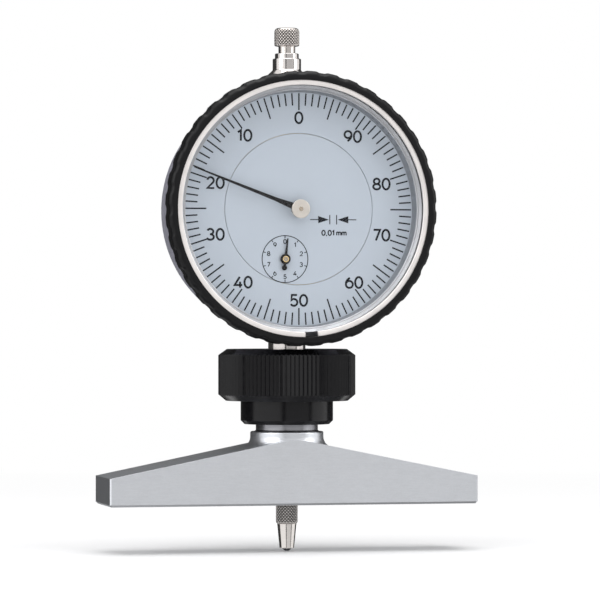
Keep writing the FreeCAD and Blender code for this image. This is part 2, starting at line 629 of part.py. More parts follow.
def back_cover():
    body = turned_deep([(0, CASE_BACK_Y), (CASE_RADIUS, CASE_BACK_Y),
                        (CASE_RADIUS, COVER_BACK_Y, COVER_EDGE), (0, COVER_BACK_Y)])
    for place in cover_screw_places():
        head = rod_deep(COVER_SCREW_HEAD_RADIUS + SLIP, COVER_BACK_Y - COVER_SCREW_HEAD_HEIGHT,
                        COVER_BACK_Y + 1, place)
        shank = rod_deep(COVER_SCREW_RADIUS, CASE_BACK_Y - 1, COVER_BACK_Y, place)
        body = body.cut(head).cut(shank)
    return body


def slotted_screw(head_radius, head_height, shank_radius, shank_length, head_y, at):
    """A screw driven from the back: its head's outer face is at head_y."""
    seat = head_y - head_height
    body = fused([rod_deep(head_radius, seat, head_y, at),
                  rod_deep(shank_radius, seat - shank_length, seat, at)])
    corner = Vector(at[0] - head_radius - 0.5, head_y - DRIVER_SLOT, DIAL_Z + at[1] - DRIVER_SLOT / 2)
    slot = Part.makeBox(2 * head_radius + 1, DRIVER_SLOT + 1, DRIVER_SLOT, corner)
    return body.cut(slot)


def cover_screws():
    shank = COVER_SCREW_LENGTH + COVER_THICKNESS - COVER_SCREW_HEAD_HEIGHT
    return Part.makeCompound([
        slotted_screw(COVER_SCREW_HEAD_RADIUS, COVER_SCREW_HEAD_HEIGHT, COVER_SCREW_RADIUS, shank,
                      COVER_BACK_Y, place) for place in cover_screw_places()])


def stem():
    return turned_up([
        (STEM_BORE, STEM_FOOT_Z), (STEM_RADIUS - STEM_CHAMFER, STEM_FOOT_Z),
        (STEM_RADIUS, STEM_FOOT_Z + STEM_CHAMFER), (STEM_RADIUS, STEM_SEAT_Z),
        (STEM_RADIUS + STEM_FLANGE_WIDTH, STEM_SEAT_Z), (STEM_RADIUS + STEM_FLANGE_WIDTH, STEM_TOP_Z),
        (STEM_BORE, STEM_TOP_Z)])


def bush(low, high):
    return rod_up(STEM_BORE, low, high).cut(rod_up(GUIDE_BORE, low, high))


def stem_bushes():
    lower = bush(STEM_FOOT_Z + GAP, STEM_FOOT_Z + GAP + STEM_BUSH_LENGTH)
    upper = bush(STEM_TOP_Z - STEM_BUSH_LENGTH, STEM_TOP_Z)
    return Part.makeCompound([lower, upper])


def upper_guide():
    return turned_up([
        (GUIDE_BORE, GUIDE_FLANGE_Z), (GUIDE_FLANGE_RADIUS, GUIDE_FLANGE_Z),
        (GUIDE_FLANGE_RADIUS, GUIDE_SEAT_Z),
        (GUIDE_RADIUS, GUIDE_SEAT_Z), (GUIDE_RADIUS, GUIDE_TOP_Z, 0.15), (GUIDE_BORE, GUIDE_TOP_Z)])


def top_sleeve():
    return turned_up([
        (GUIDE_RADIUS, SLEEVE_SEAT_Z), (SLEEVE_BASE_RADIUS, SLEEVE_SEAT_Z),
        (SLEEVE_BASE_RADIUS, SLEEVE_CONE_Z, 0.3), (SLEEVE_RADIUS, SLEEVE_TUBE_Z, 0.3),
        (SLEEVE_RADIUS, SLEEVE_TOP_Z, 0.2), (GUIDE_RADIUS, SLEEVE_TOP_Z)])


# --------------------------------------------------------------- plunger group

def rack_cutter():
    """What is milled away on the plunger's left side to leave the rack teeth."""
    pinion_z = DIAL_Z - COUNTER_DROP
    tip_x = RACK_PITCH_X - ADDENDUM
    root_x = RACK_PITCH_X + DEDENDUM
    root_half = WHEEL_TOOTH_HALF * (ADDENDUM + DEDENDUM) / ADDENDUM
    reach = RACK_PINION_PITCH_RADIUS + ADDENDUM + GAP
    below = math.ceil((TRAVEL + reach) / RACK_PITCH)
    above = math.ceil(reach / RACK_PITCH)
    side_x = -PLUNGER_RADIUS - 1
    corners = [(side_x, pinion_z - below * RACK_PITCH)]
    for tooth in range(-below, above + 1):
        middle = pinion_z + tooth * RACK_PITCH
        if tooth > -below:
            corners.append((root_x, middle - root_half))
        corners.append((tip_x, middle))
        if tooth < above:
            corners.append((root_x, middle + root_half))
    corners.append((side_x, pinion_z + above * RACK_PITCH))
    face = closed_face(corners, lambda x, z: Vector(x, -PLUNGER_RADIUS, z))
    return face.extrude(Vector(0, 2 * PLUNGER_RADIUS, 0))


def plunger():
    body = rod_up(PLUNGER_RADIUS, PLUNGER_FOOT_Z, PLUNGER_TOP_Z)
    body = body.cut(rack_cutter())
    body = body.cut(rod_up(CONTACT_STUD_RADIUS, PLUNGER_FOOT_Z - 1, PLUNGER_FOOT_Z + CONTACT_STUD_LENGTH))
    body = body.cut(rod_up(KNOB_STUD_RADIUS, PLUNGER_TOP_Z - KNOB_STUD_LENGTH, PLUNGER_TOP_Z + 1))
    return body.cut(guide_pin())


def guide_pin():
    """Cross pin behind the plunger; it keeps the rack facing its pinion."""
    return rod_deep(GUIDE_PIN_RADIUS, -GUIDE_PIN_BITE, REAR_BRIDGE_BACK_Y + GAP, (0, -GUIDE_PIN_BELOW_DIAL))


def spring_collar():
    return rod_up(COLLAR_RADIUS, COLLAR_Z, COLLAR_TOP_Z).cut(rod_up(PLUNGER_RADIUS, COLLAR_Z, COLLAR_TOP_Z))


def return_spring():
    """Coil spring between the plunger's collar and the upper guide, of square wire."""
    half = RETURN_SPRING_WIRE / 2
    low = COLLAR_TOP_Z + half
    height = GUIDE_FLANGE_Z - COLLAR_TOP_Z - 2 * half
    helix = Part.makeHelix(height / RETURN_SPRING_TURNS, height, RETURN_SPRING_RADIUS)
    helix.translate(Vector(0, 0, low))
    section = [Vector(RETURN_SPRING_RADIUS + dx * half, 0, low + dz * half)
               for dx, dz in ((-1, -1), (1, -1), (1, 1), (-1, 1), (-1, -1))]
    return Part.Wire(helix.Edges).makePipeShell([Part.makePolygon(section)], True, True)


def lifting_knob():
    return turned_up([
        (0, PLUNGER_TOP_Z - KNOB_STUD_LENGTH), (KNOB_STUD_RADIUS, PLUNGER_TOP_Z - KNOB_STUD_LENGTH),
        (KNOB_STUD_RADIUS, PLUNGER_TOP_Z), (KNOB_NECK_RADIUS, PLUNGER_TOP_Z), (KNOB_NECK_RADIUS, KNOB_Z),
        (KNOB_RADIUS - KNOB_FOOT_CHAMFER, KNOB_Z), (KNOB_RADIUS, KNOB_Z + KNOB_FOOT_CHAMFER),
        (KNOB_RADIUS, KNOB_Z + KNOB_HEIGHT, KNOB_TOP_ROUND), (0, KNOB_Z + KNOB_HEIGHT)])


def ball():
    return Part.makeSphere(BALL_RADIUS, Vector(0, 0, BALL_RADIUS - REST_REACH))


def contact_point():
    stud_top = PLUNGER_FOOT_Z + CONTACT_STUD_LENGTH
    knurl_foot = PLUNGER_FOOT_Z - CONTACT_KNURL_LENGTH
    cone_foot = BALL_PROUD - REST_REACH
    body = turned_up([
        (0, stud_top), (CONTACT_STUD_RADIUS, stud_top),
        (CONTACT_STUD_RADIUS, PLUNGER_FOOT_Z), (CONTACT_KNURL_RADIUS - CONTACT_CHAMFER, PLUNGER_FOOT_Z),
        (CONTACT_KNURL_RADIUS, PLUNGER_FOOT_Z - CONTACT_CHAMFER),
        (CONTACT_KNURL_RADIUS, knurl_foot + CONTACT_CHAMFER), (CONTACT_CONE_TOP_RADIUS, knurl_foot),
        (CONTACT_CONE_TIP_RADIUS, cone_foot), (0, cone_foot)])
    return body.cut(ball())


# -------------------------------------------------------------- movement plates

def dial_disc():
    body = rod_deep(DIAL_DISC_RADIUS, DIAL_FACE_Y, DIAL_BACK_Y)
    feet = [rod_deep(DIAL_FOOT_RADIUS, DIAL_BACK_Y, PLATE_FRONT_Y, place) for place in dial_feet()]
    body = fused([body] + feet)
    body = body.cut(rod_deep(ARBOR_RADIUS + GAP, DIAL_FACE_Y - 1, DIAL_BACK_Y + 1))
    return body.cut(rod_deep(COUNTER_ARBOR_RADIUS + GAP, DIAL_FACE_Y - 1, DIAL_BACK_Y + 1, COUNTER))


def dial_feet():
    return [(-DIAL_FOOT_PLACE, 0), (DIAL_FOOT_PLACE, 0)]


def dial_plate():
    """Front plate of the movement, seated on the case's inner web."""
    body = turned_deep([(0, DIAL_BACK_Y), (PLATE_PAD_RADIUS, DIAL_BACK_Y),
                        (PLATE_PAD_RADIUS, PLATE_FRONT_Y), (PLATE_RADIUS, PLATE_FRONT_Y),
                        (PLATE_RADIUS, PLATE_BACK_Y), (0, PLATE_BACK_Y)])
    front, back = DIAL_BACK_Y - 1, PLATE_BACK_Y + 1
    cuts = [rod_deep(ARBOR_RADIUS + RUNNING, front, back),
            rod_deep(COUNTER_ARBOR_RADIUS + RUNNING, front, back, COUNTER),
            rod_deep(PIVOT_RADIUS + RUNNING, PLATE_BACK_Y - PIVOT_LENGTH - RUNNING, back, HAIR)]
    for place in dial_feet():
        cuts.append(rod_deep(DIAL_FOOT_RADIUS, front, PLATE_FRONT_Y, place))
    for place in SHORT_PILLARS + LONG_PILLARS:
        cuts.append(rod_deep(PILLAR_SPIGOT_RADIUS, PLATE_BACK_Y - PILLAR_SPIGOT_LENGTH, back, place))
    for place in plate_screw_places():
        cuts.append(rod_deep(PLATE_SCREW_RADIUS, front, back, place))
        cuts.append(rod_deep(PLATE_SCREW_HEAD, front, PLATE_FRONT_Y + PLATE_THICKNESS / 2, place))
    return body.cut(Part.makeCompound(cuts))


def plate_screws():
    """Screws from the front, their heads let into the dial plate."""
    seat = PLATE_FRONT_Y + PLATE_THICKNESS / 2
    screws = []
    for place in plate_screw_places():
        head = rod_deep(PLATE_SCREW_HEAD, PLATE_FRONT_Y, seat, place)
        shank = rod_deep(PLATE_SCREW_RADIUS, seat, seat + PLATE_SCREW_LENGTH - PLATE_THICKNESS / 2, place)
        screws.append(fused([head, shank]))
    return Part.makeCompound(screws)


def pillar(back, at):
    """A turned pillar riveted in the dial plate and tapped for its bridge's screw."""
    spigot_y = PLATE_BACK_Y - PILLAR_SPIGOT_LENGTH
    body = turned_deep([(0, spigot_y), (PILLAR_SPIGOT_RADIUS, spigot_y), (PILLAR_SPIGOT_RADIUS, PLATE_BACK_Y),
                        (PILLAR_RADIUS, PLATE_BACK_Y), (PILLAR_RADIUS, back), (0, back)], at)
    return body.cut(rod_deep(SCREW_RADIUS, back - SCREW_LENGTH, back + 1, at))


def short_pillars():
    return Part.makeCompound([pillar(CENTRE_BRIDGE_Y, place) for place in SHORT_PILLARS])


def long_pillars():
    return Part.makeCompound([pillar(REAR_BRIDGE_Y, place) for place in LONG_PILLARS])


def centre_bridge():
    """Small bridge in front of the plunger for the centre and hairspring pivots."""
    front, back = CENTRE_BRIDGE_Y, CENTRE_BRIDGE_BACK_Y
    first, second = SHORT_PILLARS
    body = fused([bar(first, CENTRE, BRIDGE_PLATE_HALF_WIDTH, front, back),
                  bar(CENTRE, second, BRIDGE_PLATE_HALF_WIDTH, front, back),
                  bar(CENTRE, HAIR, BRIDGE_PLATE_HALF_WIDTH, front, back)])
    for place in (CENTRE, HAIR):
        body = body.cut(rod_deep(PIVOT_RADIUS + RUNNING, front - 1, back + 1, place))
    for place in SHORT_PILLARS:
        body = body.cut(rod_deep(SCREW_RADIUS, front - 1, back + 1, place))
    return body


def rear_bridge():
    """Bridge behind the plunger: counter arbor's pivot and the guide pin's slot."""
    front, back = REAR_BRIDGE_Y, REAR_BRIDGE_BACK_Y
    low, high, top = LONG_PILLARS
    head = (0, top[1])
    body = fused([bar(low, high, BRIDGE_PLATE_HALF_WIDTH, front, back),
                  bar((0, low[1]), head, BRIDGE_PLATE_HALF_WIDTH, front, back),
                  bar(head, top, BRIDGE_PLATE_HALF_WIDTH, front, back)])
    slot_low = (0, -GUIDE_PIN_BELOW_DIAL - 2 * SLIP)
    slot_high = (0, -GUIDE_PIN_BELOW_DIAL + TRAVEL + 2 * SLIP)
    body = body.cut(bar(slot_low, slot_high, GUIDE_PIN_RADIUS + RUNNING, front - 1, back + 1))
    body = body.cut(rod_deep(PIVOT_RADIUS + RUNNING, front - 1, back + 1, COUNTER))
    for place in LONG_PILLARS:
        body = body.cut(rod_deep(SCREW_RADIUS, front - 1, back + 1, place))
    return body


def bridge_screws():
    screws = []
    for back, places in ((CENTRE_BRIDGE_BACK_Y, SHORT_PILLARS), (REAR_BRIDGE_BACK_Y, LONG_PILLARS)):
        for place in places:
            shank = BRIDGE_PLATE_THICKNESS + SCREW_LENGTH - GAP
            screws.append(slotted_screw(SCREW_HEAD_RADIUS, SCREW_HEAD_HEIGHT, SCREW_RADIUS, shank,
                                        back + SCREW_HEAD_HEIGHT, place))
    return Part.makeCompound(screws)


# ---------------------------------------------------------------- wheels, hands

def towards(place):
    return math.atan2(place[1], place[0])


def wheel(front, at, tooth_angle, hub_front, hub_back, bore):
    """A crossed-out wheel on its hub, with pointed teeth."""
    root_half = WHEEL_TOOTH_HALF * (ADDENDUM + DEDENDUM) / ADDENDUM
    root_radius = WHEEL_PITCH_RADIUS - DEDENDUM
    corners = toothed_corners(WHEEL_TEETH, WHEEL_PITCH_RADIUS + ADDENDUM, root_radius, 0, root_half,
                              tooth_angle)
    body = plate_deep(corners, front, front + WHEEL_THICKNESS, at)
    window = wheel_window(root_radius - 1.4, WHEEL_HUB_RADIUS + 1.0, front, at)
    for number in range(4):
        body = body.cut(turned_about(window, at, 90 * number))
    hub = rod_deep(WHEEL_HUB_RADIUS, hub_front, hub_back, at)
    return fused([body, hub]).cut(rod_deep(bore, hub_front - 1, hub_back + 1, at))


def wheel_window(outer, inner, front, at):
    """One of the four openings between a wheel's spokes."""
    spoke = 0.9
    far = math.sqrt(outer ** 2 - spoke ** 2)
    near = math.sqrt(inner ** 2 - spoke ** 2)
    x, z = at[0], DIAL_Z + at[1]

    def place(u, v):
        return Vector(x + u, front - 1, z + v)

    outer_middle = place(outer * math.sqrt(0.5), outer * math.sqrt(0.5))
    inner_middle = place(inner * math.sqrt(0.5), inner * math.sqrt(0.5))
    edges = [Part.LineSegment(place(near, spoke), place(far, spoke)).toShape(),
             Part.Arc(place(far, spoke), outer_middle, place(spoke, far)).toShape(),
             Part.LineSegment(place(spoke, far), place(spoke, near)).toShape(),
             Part.Arc(place(spoke, near), inner_middle, place(near, spoke)).toShape()]
    return Part.Face(Part.Wire(edges)).extrude(Vector(0, WHEEL_THICKNESS + 2, 0))


def turned_about(shape, at, degrees):
    """A copy of a shape turned about an axis along Y."""
    copy = shape.copy()
    copy.rotate(Vector(at[0], 0, DIAL_Z + at[1]), DIAL_AXIS, degrees)
    return copy


def small_pinion(teeth, pitch_radius, root_half, front, back, at, first_tooth):
    corners = toothed_corners(teeth, pitch_radius + ADDENDUM, pitch_radius - DEDENDUM, PINION_TIP_HALF,
                              root_half, first_tooth)
    return plate_deep(corners, front, back, at)


# At rest a tooth of the counter wheel points at the dial's centre, between two leaves of
# the centre pinion, and a rack tooth stands between two leaves of the rack pinion.
CENTRE_LEAF = towards(COUNTER) + math.pi / CENTRE_PINION_TEETH


def hair_wheel_tooth():
    """First tooth of the hairspring wheel, set by the centre pinion's leaves."""
    leaf_offset = CENTRE_PINION_PITCH_RADIUS * (CENTRE_LEAF - towards(HAIR))
    pitch = math.pi * MODULE
    return towards(HAIR) + math.pi + (pitch / 2 - leaf_offset) / WHEEL_PITCH_RADIUS


def centre_arbor():
    """Arbor of the long hand, with its ten-leaf pinion cut from the solid."""
    front = HAIR_WHEEL_Y - GAP
    back = COUNTER_WHEEL_Y + WHEEL_THICKNESS + GAP
    pivot_y = CENTRE_BRIDGE_Y - RUNNING
    return fused([
        rod_deep(HUB_PIN_RADIUS, HUB_Y - SLIP, HAND_Y), rod_deep(ARBOR_RADIUS, HAND_Y, pivot_y),
        small_pinion(CENTRE_PINION_TEETH, CENTRE_PINION_PITCH_RADIUS, PINION_ROOT_HALF, front, back, CENTRE,
                     CENTRE_LEAF),
        rod_deep(PIVOT_RADIUS, pivot_y, pivot_y + PIVOT_LENGTH)])


def counter_arbor():
    """Arbor of the small hand, with the rack pinion cut from the solid."""
    half = RACK_PINION_WIDTH / 2
    pivot_y = REAR_BRIDGE_Y - RUNNING
    return fused([
        rod_deep(COUNTER_ARBOR_RADIUS, COUNTER_BUSH_Y, pivot_y, COUNTER),
        small_pinion(RACK_PINION_TEETH, RACK_PINION_PITCH_RADIUS, PINION_ROOT_HALF, -half, half, COUNTER,
                     math.pi / RACK_PINION_TEETH),
        rod_deep(PIVOT_RADIUS, pivot_y, pivot_y + PIVOT_LENGTH, COUNTER)])


def counter_wheel():
    back = COUNTER_WHEEL_Y + WHEEL_THICKNESS
    return wheel(COUNTER_WHEEL_Y, COUNTER, towards(COUNTER) + math.pi, COUNTER_WHEEL_Y,
                 back + WHEEL_HUB_HEIGHT, COUNTER_ARBOR_RADIUS)


def hairspring_wheel():
    back = HAIR_WHEEL_Y + WHEEL_THICKNESS
    return wheel(HAIR_WHEEL_Y, HAIR, hair_wheel_tooth(), HAIR_WHEEL_Y, back + WHEEL_HUB_HEIGHT,
                 COUNTER_ARBOR_RADIUS)


def hairspring_arbor():
    front_pivot = PLATE_BACK_Y + RUNNING
    back_pivot = CENTRE_BRIDGE_Y - RUNNING
    return fused([
        rod_deep(PIVOT_RADIUS, front_pivot - PIVOT_LENGTH, front_pivot, HAIR),
        rod_deep(COUNTER_ARBOR_RADIUS, front_pivot, back_pivot, HAIR),
        rod_deep(HAIRSPRING_START, HAIRSPRING_Y, HAIRSPRING_Y + HAIRSPRING_HEIGHT, HAIR),
        rod_deep(PIVOT_RADIUS, back_pivot, back_pivot + PIVOT_LENGTH, HAIR)])


def spiral_point(x, rise):
    return Vector(HAIR[0] + x, HAIRSPRING_Y, DIAL_Z + HAIR[1] + rise)


def spiral_edges(start_radius):
    """Half circles that each grow by half a pitch, and the place along X where they end."""
    edges = []
    radius = start_radius
    x = -start_radius
    side = 1
    for _ in range(2 * HAIRSPRING_TURNS):
        middle = x + side * radius
        end = x + 2 * side * radius
        edges.append(Part.Arc(spiral_point(x, 0), spiral_point(middle, side * radius),
                              spiral_point(end, 0)).toShape())
        x = end
        radius += HAIRSPRING_PITCH / 2
        side = -side
    return edges, x


def hairspring():
    """Flat spiral strip from the arbor's collet to its stud on the plate."""
    inner, inner_end = spiral_edges(HAIRSPRING_START)
    outer, outer_end = spiral_edges(HAIRSPRING_START + HAIRSPRING_STRIP)
    first = Part.LineSegment(spiral_point(-HAIRSPRING_START, 0),
                             spiral_point(-HAIRSPRING_START - HAIRSPRING_STRIP, 0)).toShape()
    last = Part.LineSegment(spiral_point(inner_end, 0), spiral_point(outer_end, 0)).toShape()
    wire = Part.Wire(Part.__sortEdges__([first, last] + inner + outer))
    return Part.Face(wire).extrude(Vector(0, HAIRSPRING_HEIGHT, 0))


def hairspring_stud():
    """Post on the plate that holds the spiral's outer end."""
    _, end = spiral_edges(HAIRSPRING_START + HAIRSPRING_STRIP)
    corner = spiral_point(end - HAIRSPRING_STUD, -HAIRSPRING_STUD / 2)
    corner.y = PLATE_BACK_Y
    height = HAIRSPRING_Y + HAIRSPRING_HEIGHT - PLATE_BACK_Y
    return Part.makeBox(HAIRSPRING_STUD, height, HAIRSPRING_STUD, corner)


def main_hand():
    half = [(-HAND_ROOT_HALF, 0), (-HAND_NECK_HALF, HAND_NECK_SHARE * HAND_LENGTH),
            (-HAND_TIP_HALF, HAND_LENGTH)]
    outline = half + [(-x, z) for x, z in reversed(half)]
    blade = plate_deep(outline, HAND_Y, HAND_Y + HAND_THICKNESS)
    boss = rod_deep(HAND_BOSS_RADIUS, HAND_Y, HAND_Y + HAND_THICKNESS)
    body = turned_about(fused([blade, boss]), CENTRE, -HAND_ANGLE)
    return body.cut(rod_deep(ARBOR_RADIUS, HAND_Y - 1, HAND_Y + 1))


def hand_hub():
    back = HAND_Y
    body = turned_deep([(0, HUB_Y), (HUB_RADIUS, HUB_Y, 0.15), (HUB_RADIUS, back), (0, back)])
    return body.cut(rod_deep(HUB_PIN_RADIUS, HUB_Y - 1, back + 1))


def counter_hand():
    tail_end = COUNTER_HAND_TAIL - COUNTER_HAND_TAIL_DISC
    half = [(-0.22, -tail_end), (-0.3, 0), (-0.12, COUNTER_HAND_LENGTH)]
    outline = half + [(-x, z) for x, z in reversed(half)]
    blade = plate_deep(outline, COUNTER_HAND_Y, COUNTER_HAND_Y + HAND_THICKNESS, COUNTER)
    disc = rod_deep(COUNTER_HAND_TAIL_DISC, COUNTER_HAND_Y, COUNTER_HAND_Y + HAND_THICKNESS,
                    (COUNTER[0], COUNTER[1] - tail_end))
    boss = rod_deep(COUNTER_HAND_HUB_RADIUS, COUNTER_HAND_Y, COUNTER_HAND_Y + HAND_THICKNESS, COUNTER)
    body = turned_about(fused([blade, disc, boss]), COUNTER, -COUNTER_HAND_ANGLE)
    return body.cut(rod_deep(COUNTER_ARBOR_RADIUS, COUNTER_HAND_Y - 1, COUNTER_HAND_Y + 1, COUNTER))


def counter_bush():
    return ring_deep(COUNTER_ARBOR_RADIUS, COUNTER_BUSH_RADIUS, COUNTER_BUSH_Y, COUNTER_HAND_Y, COUNTER)


NODES = {
    "base_bridge": base_bridge,
    "collet": collet,
    "clamp_nut": clamp_nut,
    "case": case,
    "back_cover": back_cover,
    "cover_screws": cover_screws,
    "stem": stem,
    "stem_bushes": stem_bushes,
    "upper_guide": upper_guide,
    "top_sleeve": top_sleeve,
    "bezel": bezel,
    "bezel_spring": bezel_spring,
    "crystal": crystal,
    "snap_ring": snap_ring,
    "spacer_ring": spacer_ring,
    "scale_ring": scale_ring,
    "dial_disc": dial_disc,
    "dial_plate": dial_plate,
    "plate_screws": plate_screws,
    "short_pillars": short_pillars,
    "long_pillars": long_pillars,
    "centre_bridge": centre_bridge,
    "rear_bridge": rear_bridge,
    "bridge_screws": bridge_screws,
    "plunger": plunger,
    "guide_pin": guide_pin,
    "spring_collar": spring_collar,
    "return_spring": return_spring,
    "lifting_knob": lifting_knob,
    "contact_point": contact_point,
    "contact_ball": ball,
    "centre_arbor": centre_arbor,
    "main_hand": main_hand,
    "hand_hub": hand_hub,
    "counter_arbor": counter_arbor,
    "counter_wheel": counter_wheel,
    "counter_hand": counter_hand,
    "counter_bush": counter_bush,
    "hairspring_arbor": hairspring_arbor,
    "hairspring_wheel": hairspring_wheel,
    "hairspring": hairspring,
    "hairspring_stud": hairspring_stud,
}

os.makedirs("parts", exist_ok=True)
for name, build in NODES.items():
    build().exportStep("parts/" + name + ".step")
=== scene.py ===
"""Looks of a dial depth micrometer: fine shapes, dial print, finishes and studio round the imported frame.

Lengths are in millimetres until a mesh is written, which is in metres, as the frame is. Angles round
the dial are in degrees, counter-clockwise from the top as seen from the front.
"""

import logging
import math
from collections.abc import Iterable, Sequence
from dataclasses import dataclass, field
from enum import Enum
from typing import Any

import bmesh
import bpy
import numpy as np
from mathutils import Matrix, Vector

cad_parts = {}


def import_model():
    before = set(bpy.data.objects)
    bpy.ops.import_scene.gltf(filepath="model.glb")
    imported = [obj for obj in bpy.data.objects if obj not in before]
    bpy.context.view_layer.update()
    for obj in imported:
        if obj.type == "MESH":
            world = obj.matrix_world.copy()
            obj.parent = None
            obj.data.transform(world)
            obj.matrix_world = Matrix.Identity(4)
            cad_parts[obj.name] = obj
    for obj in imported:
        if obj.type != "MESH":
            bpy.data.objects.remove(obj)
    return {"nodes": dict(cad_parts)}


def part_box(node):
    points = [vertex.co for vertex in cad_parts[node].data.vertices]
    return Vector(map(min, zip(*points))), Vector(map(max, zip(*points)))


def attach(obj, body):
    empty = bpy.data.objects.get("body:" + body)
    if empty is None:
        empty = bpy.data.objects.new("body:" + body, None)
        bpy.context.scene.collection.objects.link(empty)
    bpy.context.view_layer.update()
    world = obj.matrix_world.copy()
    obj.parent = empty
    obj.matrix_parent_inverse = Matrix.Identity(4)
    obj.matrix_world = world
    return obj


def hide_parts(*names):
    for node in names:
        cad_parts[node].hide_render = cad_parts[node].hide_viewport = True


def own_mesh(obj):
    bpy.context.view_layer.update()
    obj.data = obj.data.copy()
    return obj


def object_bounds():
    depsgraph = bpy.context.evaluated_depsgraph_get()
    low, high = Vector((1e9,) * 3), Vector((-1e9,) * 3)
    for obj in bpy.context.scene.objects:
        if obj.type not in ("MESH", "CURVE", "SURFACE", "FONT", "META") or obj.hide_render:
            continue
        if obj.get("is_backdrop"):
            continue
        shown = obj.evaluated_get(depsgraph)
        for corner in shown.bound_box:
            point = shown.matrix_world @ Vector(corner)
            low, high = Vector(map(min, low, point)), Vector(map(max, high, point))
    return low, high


log = logging.getLogger("depth_micrometer")

MM = 0.001
PER_METRE = 1000.0
FULL_TURN = 2 * math.pi
DOUBLES = 0.0006 * MM

Colour = tuple[float, float, float]


class Body(Enum):
    """The bodies of the frame that new pieces ride on."""

    GAUGE = "gauge"
    BEZEL = "bezel_group"
    PLUNGER = "plunger_group"


class Axis(Enum):
    """The line that a turned piece or a turned finish goes round."""

    UPRIGHT = "upright"
    DIAL = "dial"


# ---------------------------------------------------------------------------------------------------
# Places and meshes
# ---------------------------------------------------------------------------------------------------


def span(node: str) -> tuple[np.ndarray, np.ndarray]:
    """Gives a node's box.

    Args:
        node: name of a node of the frame.

    Returns:
        Its lowest and highest corner in millimetres.
    """
    low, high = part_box(node)
    return np.array(low) * PER_METRE, np.array(high) * PER_METRE


def heights(node: str) -> tuple[float, float]:
    """Gives the lowest and highest z of a node in millimetres."""
    low, high = span(node)
    return low[2], high[2]


def depths(node: str) -> tuple[float, float]:
    """Gives the front and back y of a node in millimetres."""
    low, high = span(node)
    return low[1], high[1]


def dial_place(node: str) -> tuple[float, float]:
    """Gives the x and z of the middle of a node in millimetres."""
    low, high = span(node)
    return (low[0] + high[0]) / 2, (low[2] + high[2]) / 2


def dial_centre() -> np.ndarray:
    """Gives the x and z of the dial's centre in millimetres."""
    return np.array([0.0, dial_place("scale_ring")[1]])


def round_dial(centre: np.ndarray, radius: Any, degrees: Any) -> tuple[np.ndarray, np.ndarray]:
    """Places points on circles round a centre in the dial's plane.

    Across is minus the sine and up is the cosine of the angle, so that angles grow counter-clockwise.

    Args:
        centre: x and z of the centre.
        radius: one radius or an array of them.
        degrees: one angle or an array of them.

    Returns:
        The points' x and z.
    """
    turn = np.radians(degrees)
    return centre[0] - radius * np.sin(turn), centre[1] + radius * np.cos(turn)


def cells(rows: int, columns: int, close_rows: bool = False, close_columns: bool = False,
          first: int = 0) -> np.ndarray:
    """Numbers the corners of every cell of a grid of points.

    Args:
        rows: rows of the grid.
        columns: columns of the grid.
        close_rows: whether the last row joins the first.
        close_columns: whether the last column joins the first.
        first: number of the grid's first point.

    Returns:
        One row of four corner numbers per cell.
    """
    row, column = np.meshgrid(np.arange(rows if close_rows else rows - 1),
                              np.arange(columns if close_columns else columns - 1), indexing="ij")
    below, beside = (row + 1) % rows, (column + 1) % columns
    corners = [row * columns + column, below * columns + column,
               below * columns + beside, row * columns + beside]
    return np.stack(corners, axis=-1).reshape(-1, 4) + first


def rounded(corners: Sequence[Sequence[float]], steps: int = 5, closed: bool = True) -> np.ndarray:
    """Rounds the corners of a line.

    The arc of radius r at a corner of opening angle a starts r / tan(a / 2) before the corner. Its
    centre lies r / sin(a / 2) along the corner's bisector, and the arc's points are blended between
    its two ends by the sines of the angle still to go and of the angle gone.

    Args:
        corners: rows of two coordinates and an optional radius.
        steps: points on each arc.
        closed: whether the last corner joins the first.

    Returns:
        The points of the rounded line, two columns.
    """
    table = np.array([[*c, 0.0][:3] for c in corners], float)
    corner, radius = table[:, :2], table[:, 2]
    if not closed:
        radius[[0, -1]] = 0.0
    back, ahead = np.roll(corner, 1, 0) - corner, np.roll(corner, -1, 0) - corner
    back /= np.maximum(np.linalg.norm(back, axis=1, keepdims=True), 1e-9)
    ahead /= np.maximum(np.linalg.norm(ahead, axis=1, keepdims=True), 1e-9)
    opening = np.arccos(np.clip((back * ahead).sum(1), -1, 1))
    half = np.clip(opening / 2, 1e-3, math.pi / 2 - 1e-6)
    bisector = back + ahead
    bisector /= np.maximum(np.linalg.norm(bisector, axis=1, keepdims=True), 1e-9)
    centre = corner + bisector * (radius / np.sin(half))[:, None]
    start = corner + back * (radius / np.tan(half))[:, None] - centre
    end = corner + ahead * (radius / np.tan(half))[:, None] - centre
    turn = np.maximum(math.pi - 2 * half, 1e-6)[:, None]
    share = np.linspace(0, 1, steps)[None]
    from_start = (np.sin((1 - share) * turn) / np.sin(turn))[..., None]
    from_end = (np.sin(share * turn) / np.sin(turn))[..., None]
    points = centre[:, None] + from_start * start[:, None] + from_end * end[:, None]
    keep = (radius > 0)[:, None] | (np.arange(steps) == 0)[None]
    points[radius == 0] = corner[radius == 0][:, None]
    return points[keep]


def filled_in(line: np.ndarray, step: float) -> np.ndarray:
    """Adds points to a line so that no two lie further apart than a step.

    Args:
        line: points of the line, two columns.
        step: greatest distance between neighbours.

    Returns:
        The line's own points and the added ones in order.
    """
    gone = np.concatenate([[0.0], np.cumsum(np.linalg.norm(np.diff(line, axis=0), axis=1))])
    places = np.unique(np.round(np.concatenate([gone, np.arange(0, gone[-1], step)]), 5))
    return np.stack([np.interp(places, gone, line[:, 0]), np.interp(places, gone, line[:, 1])], axis=1)


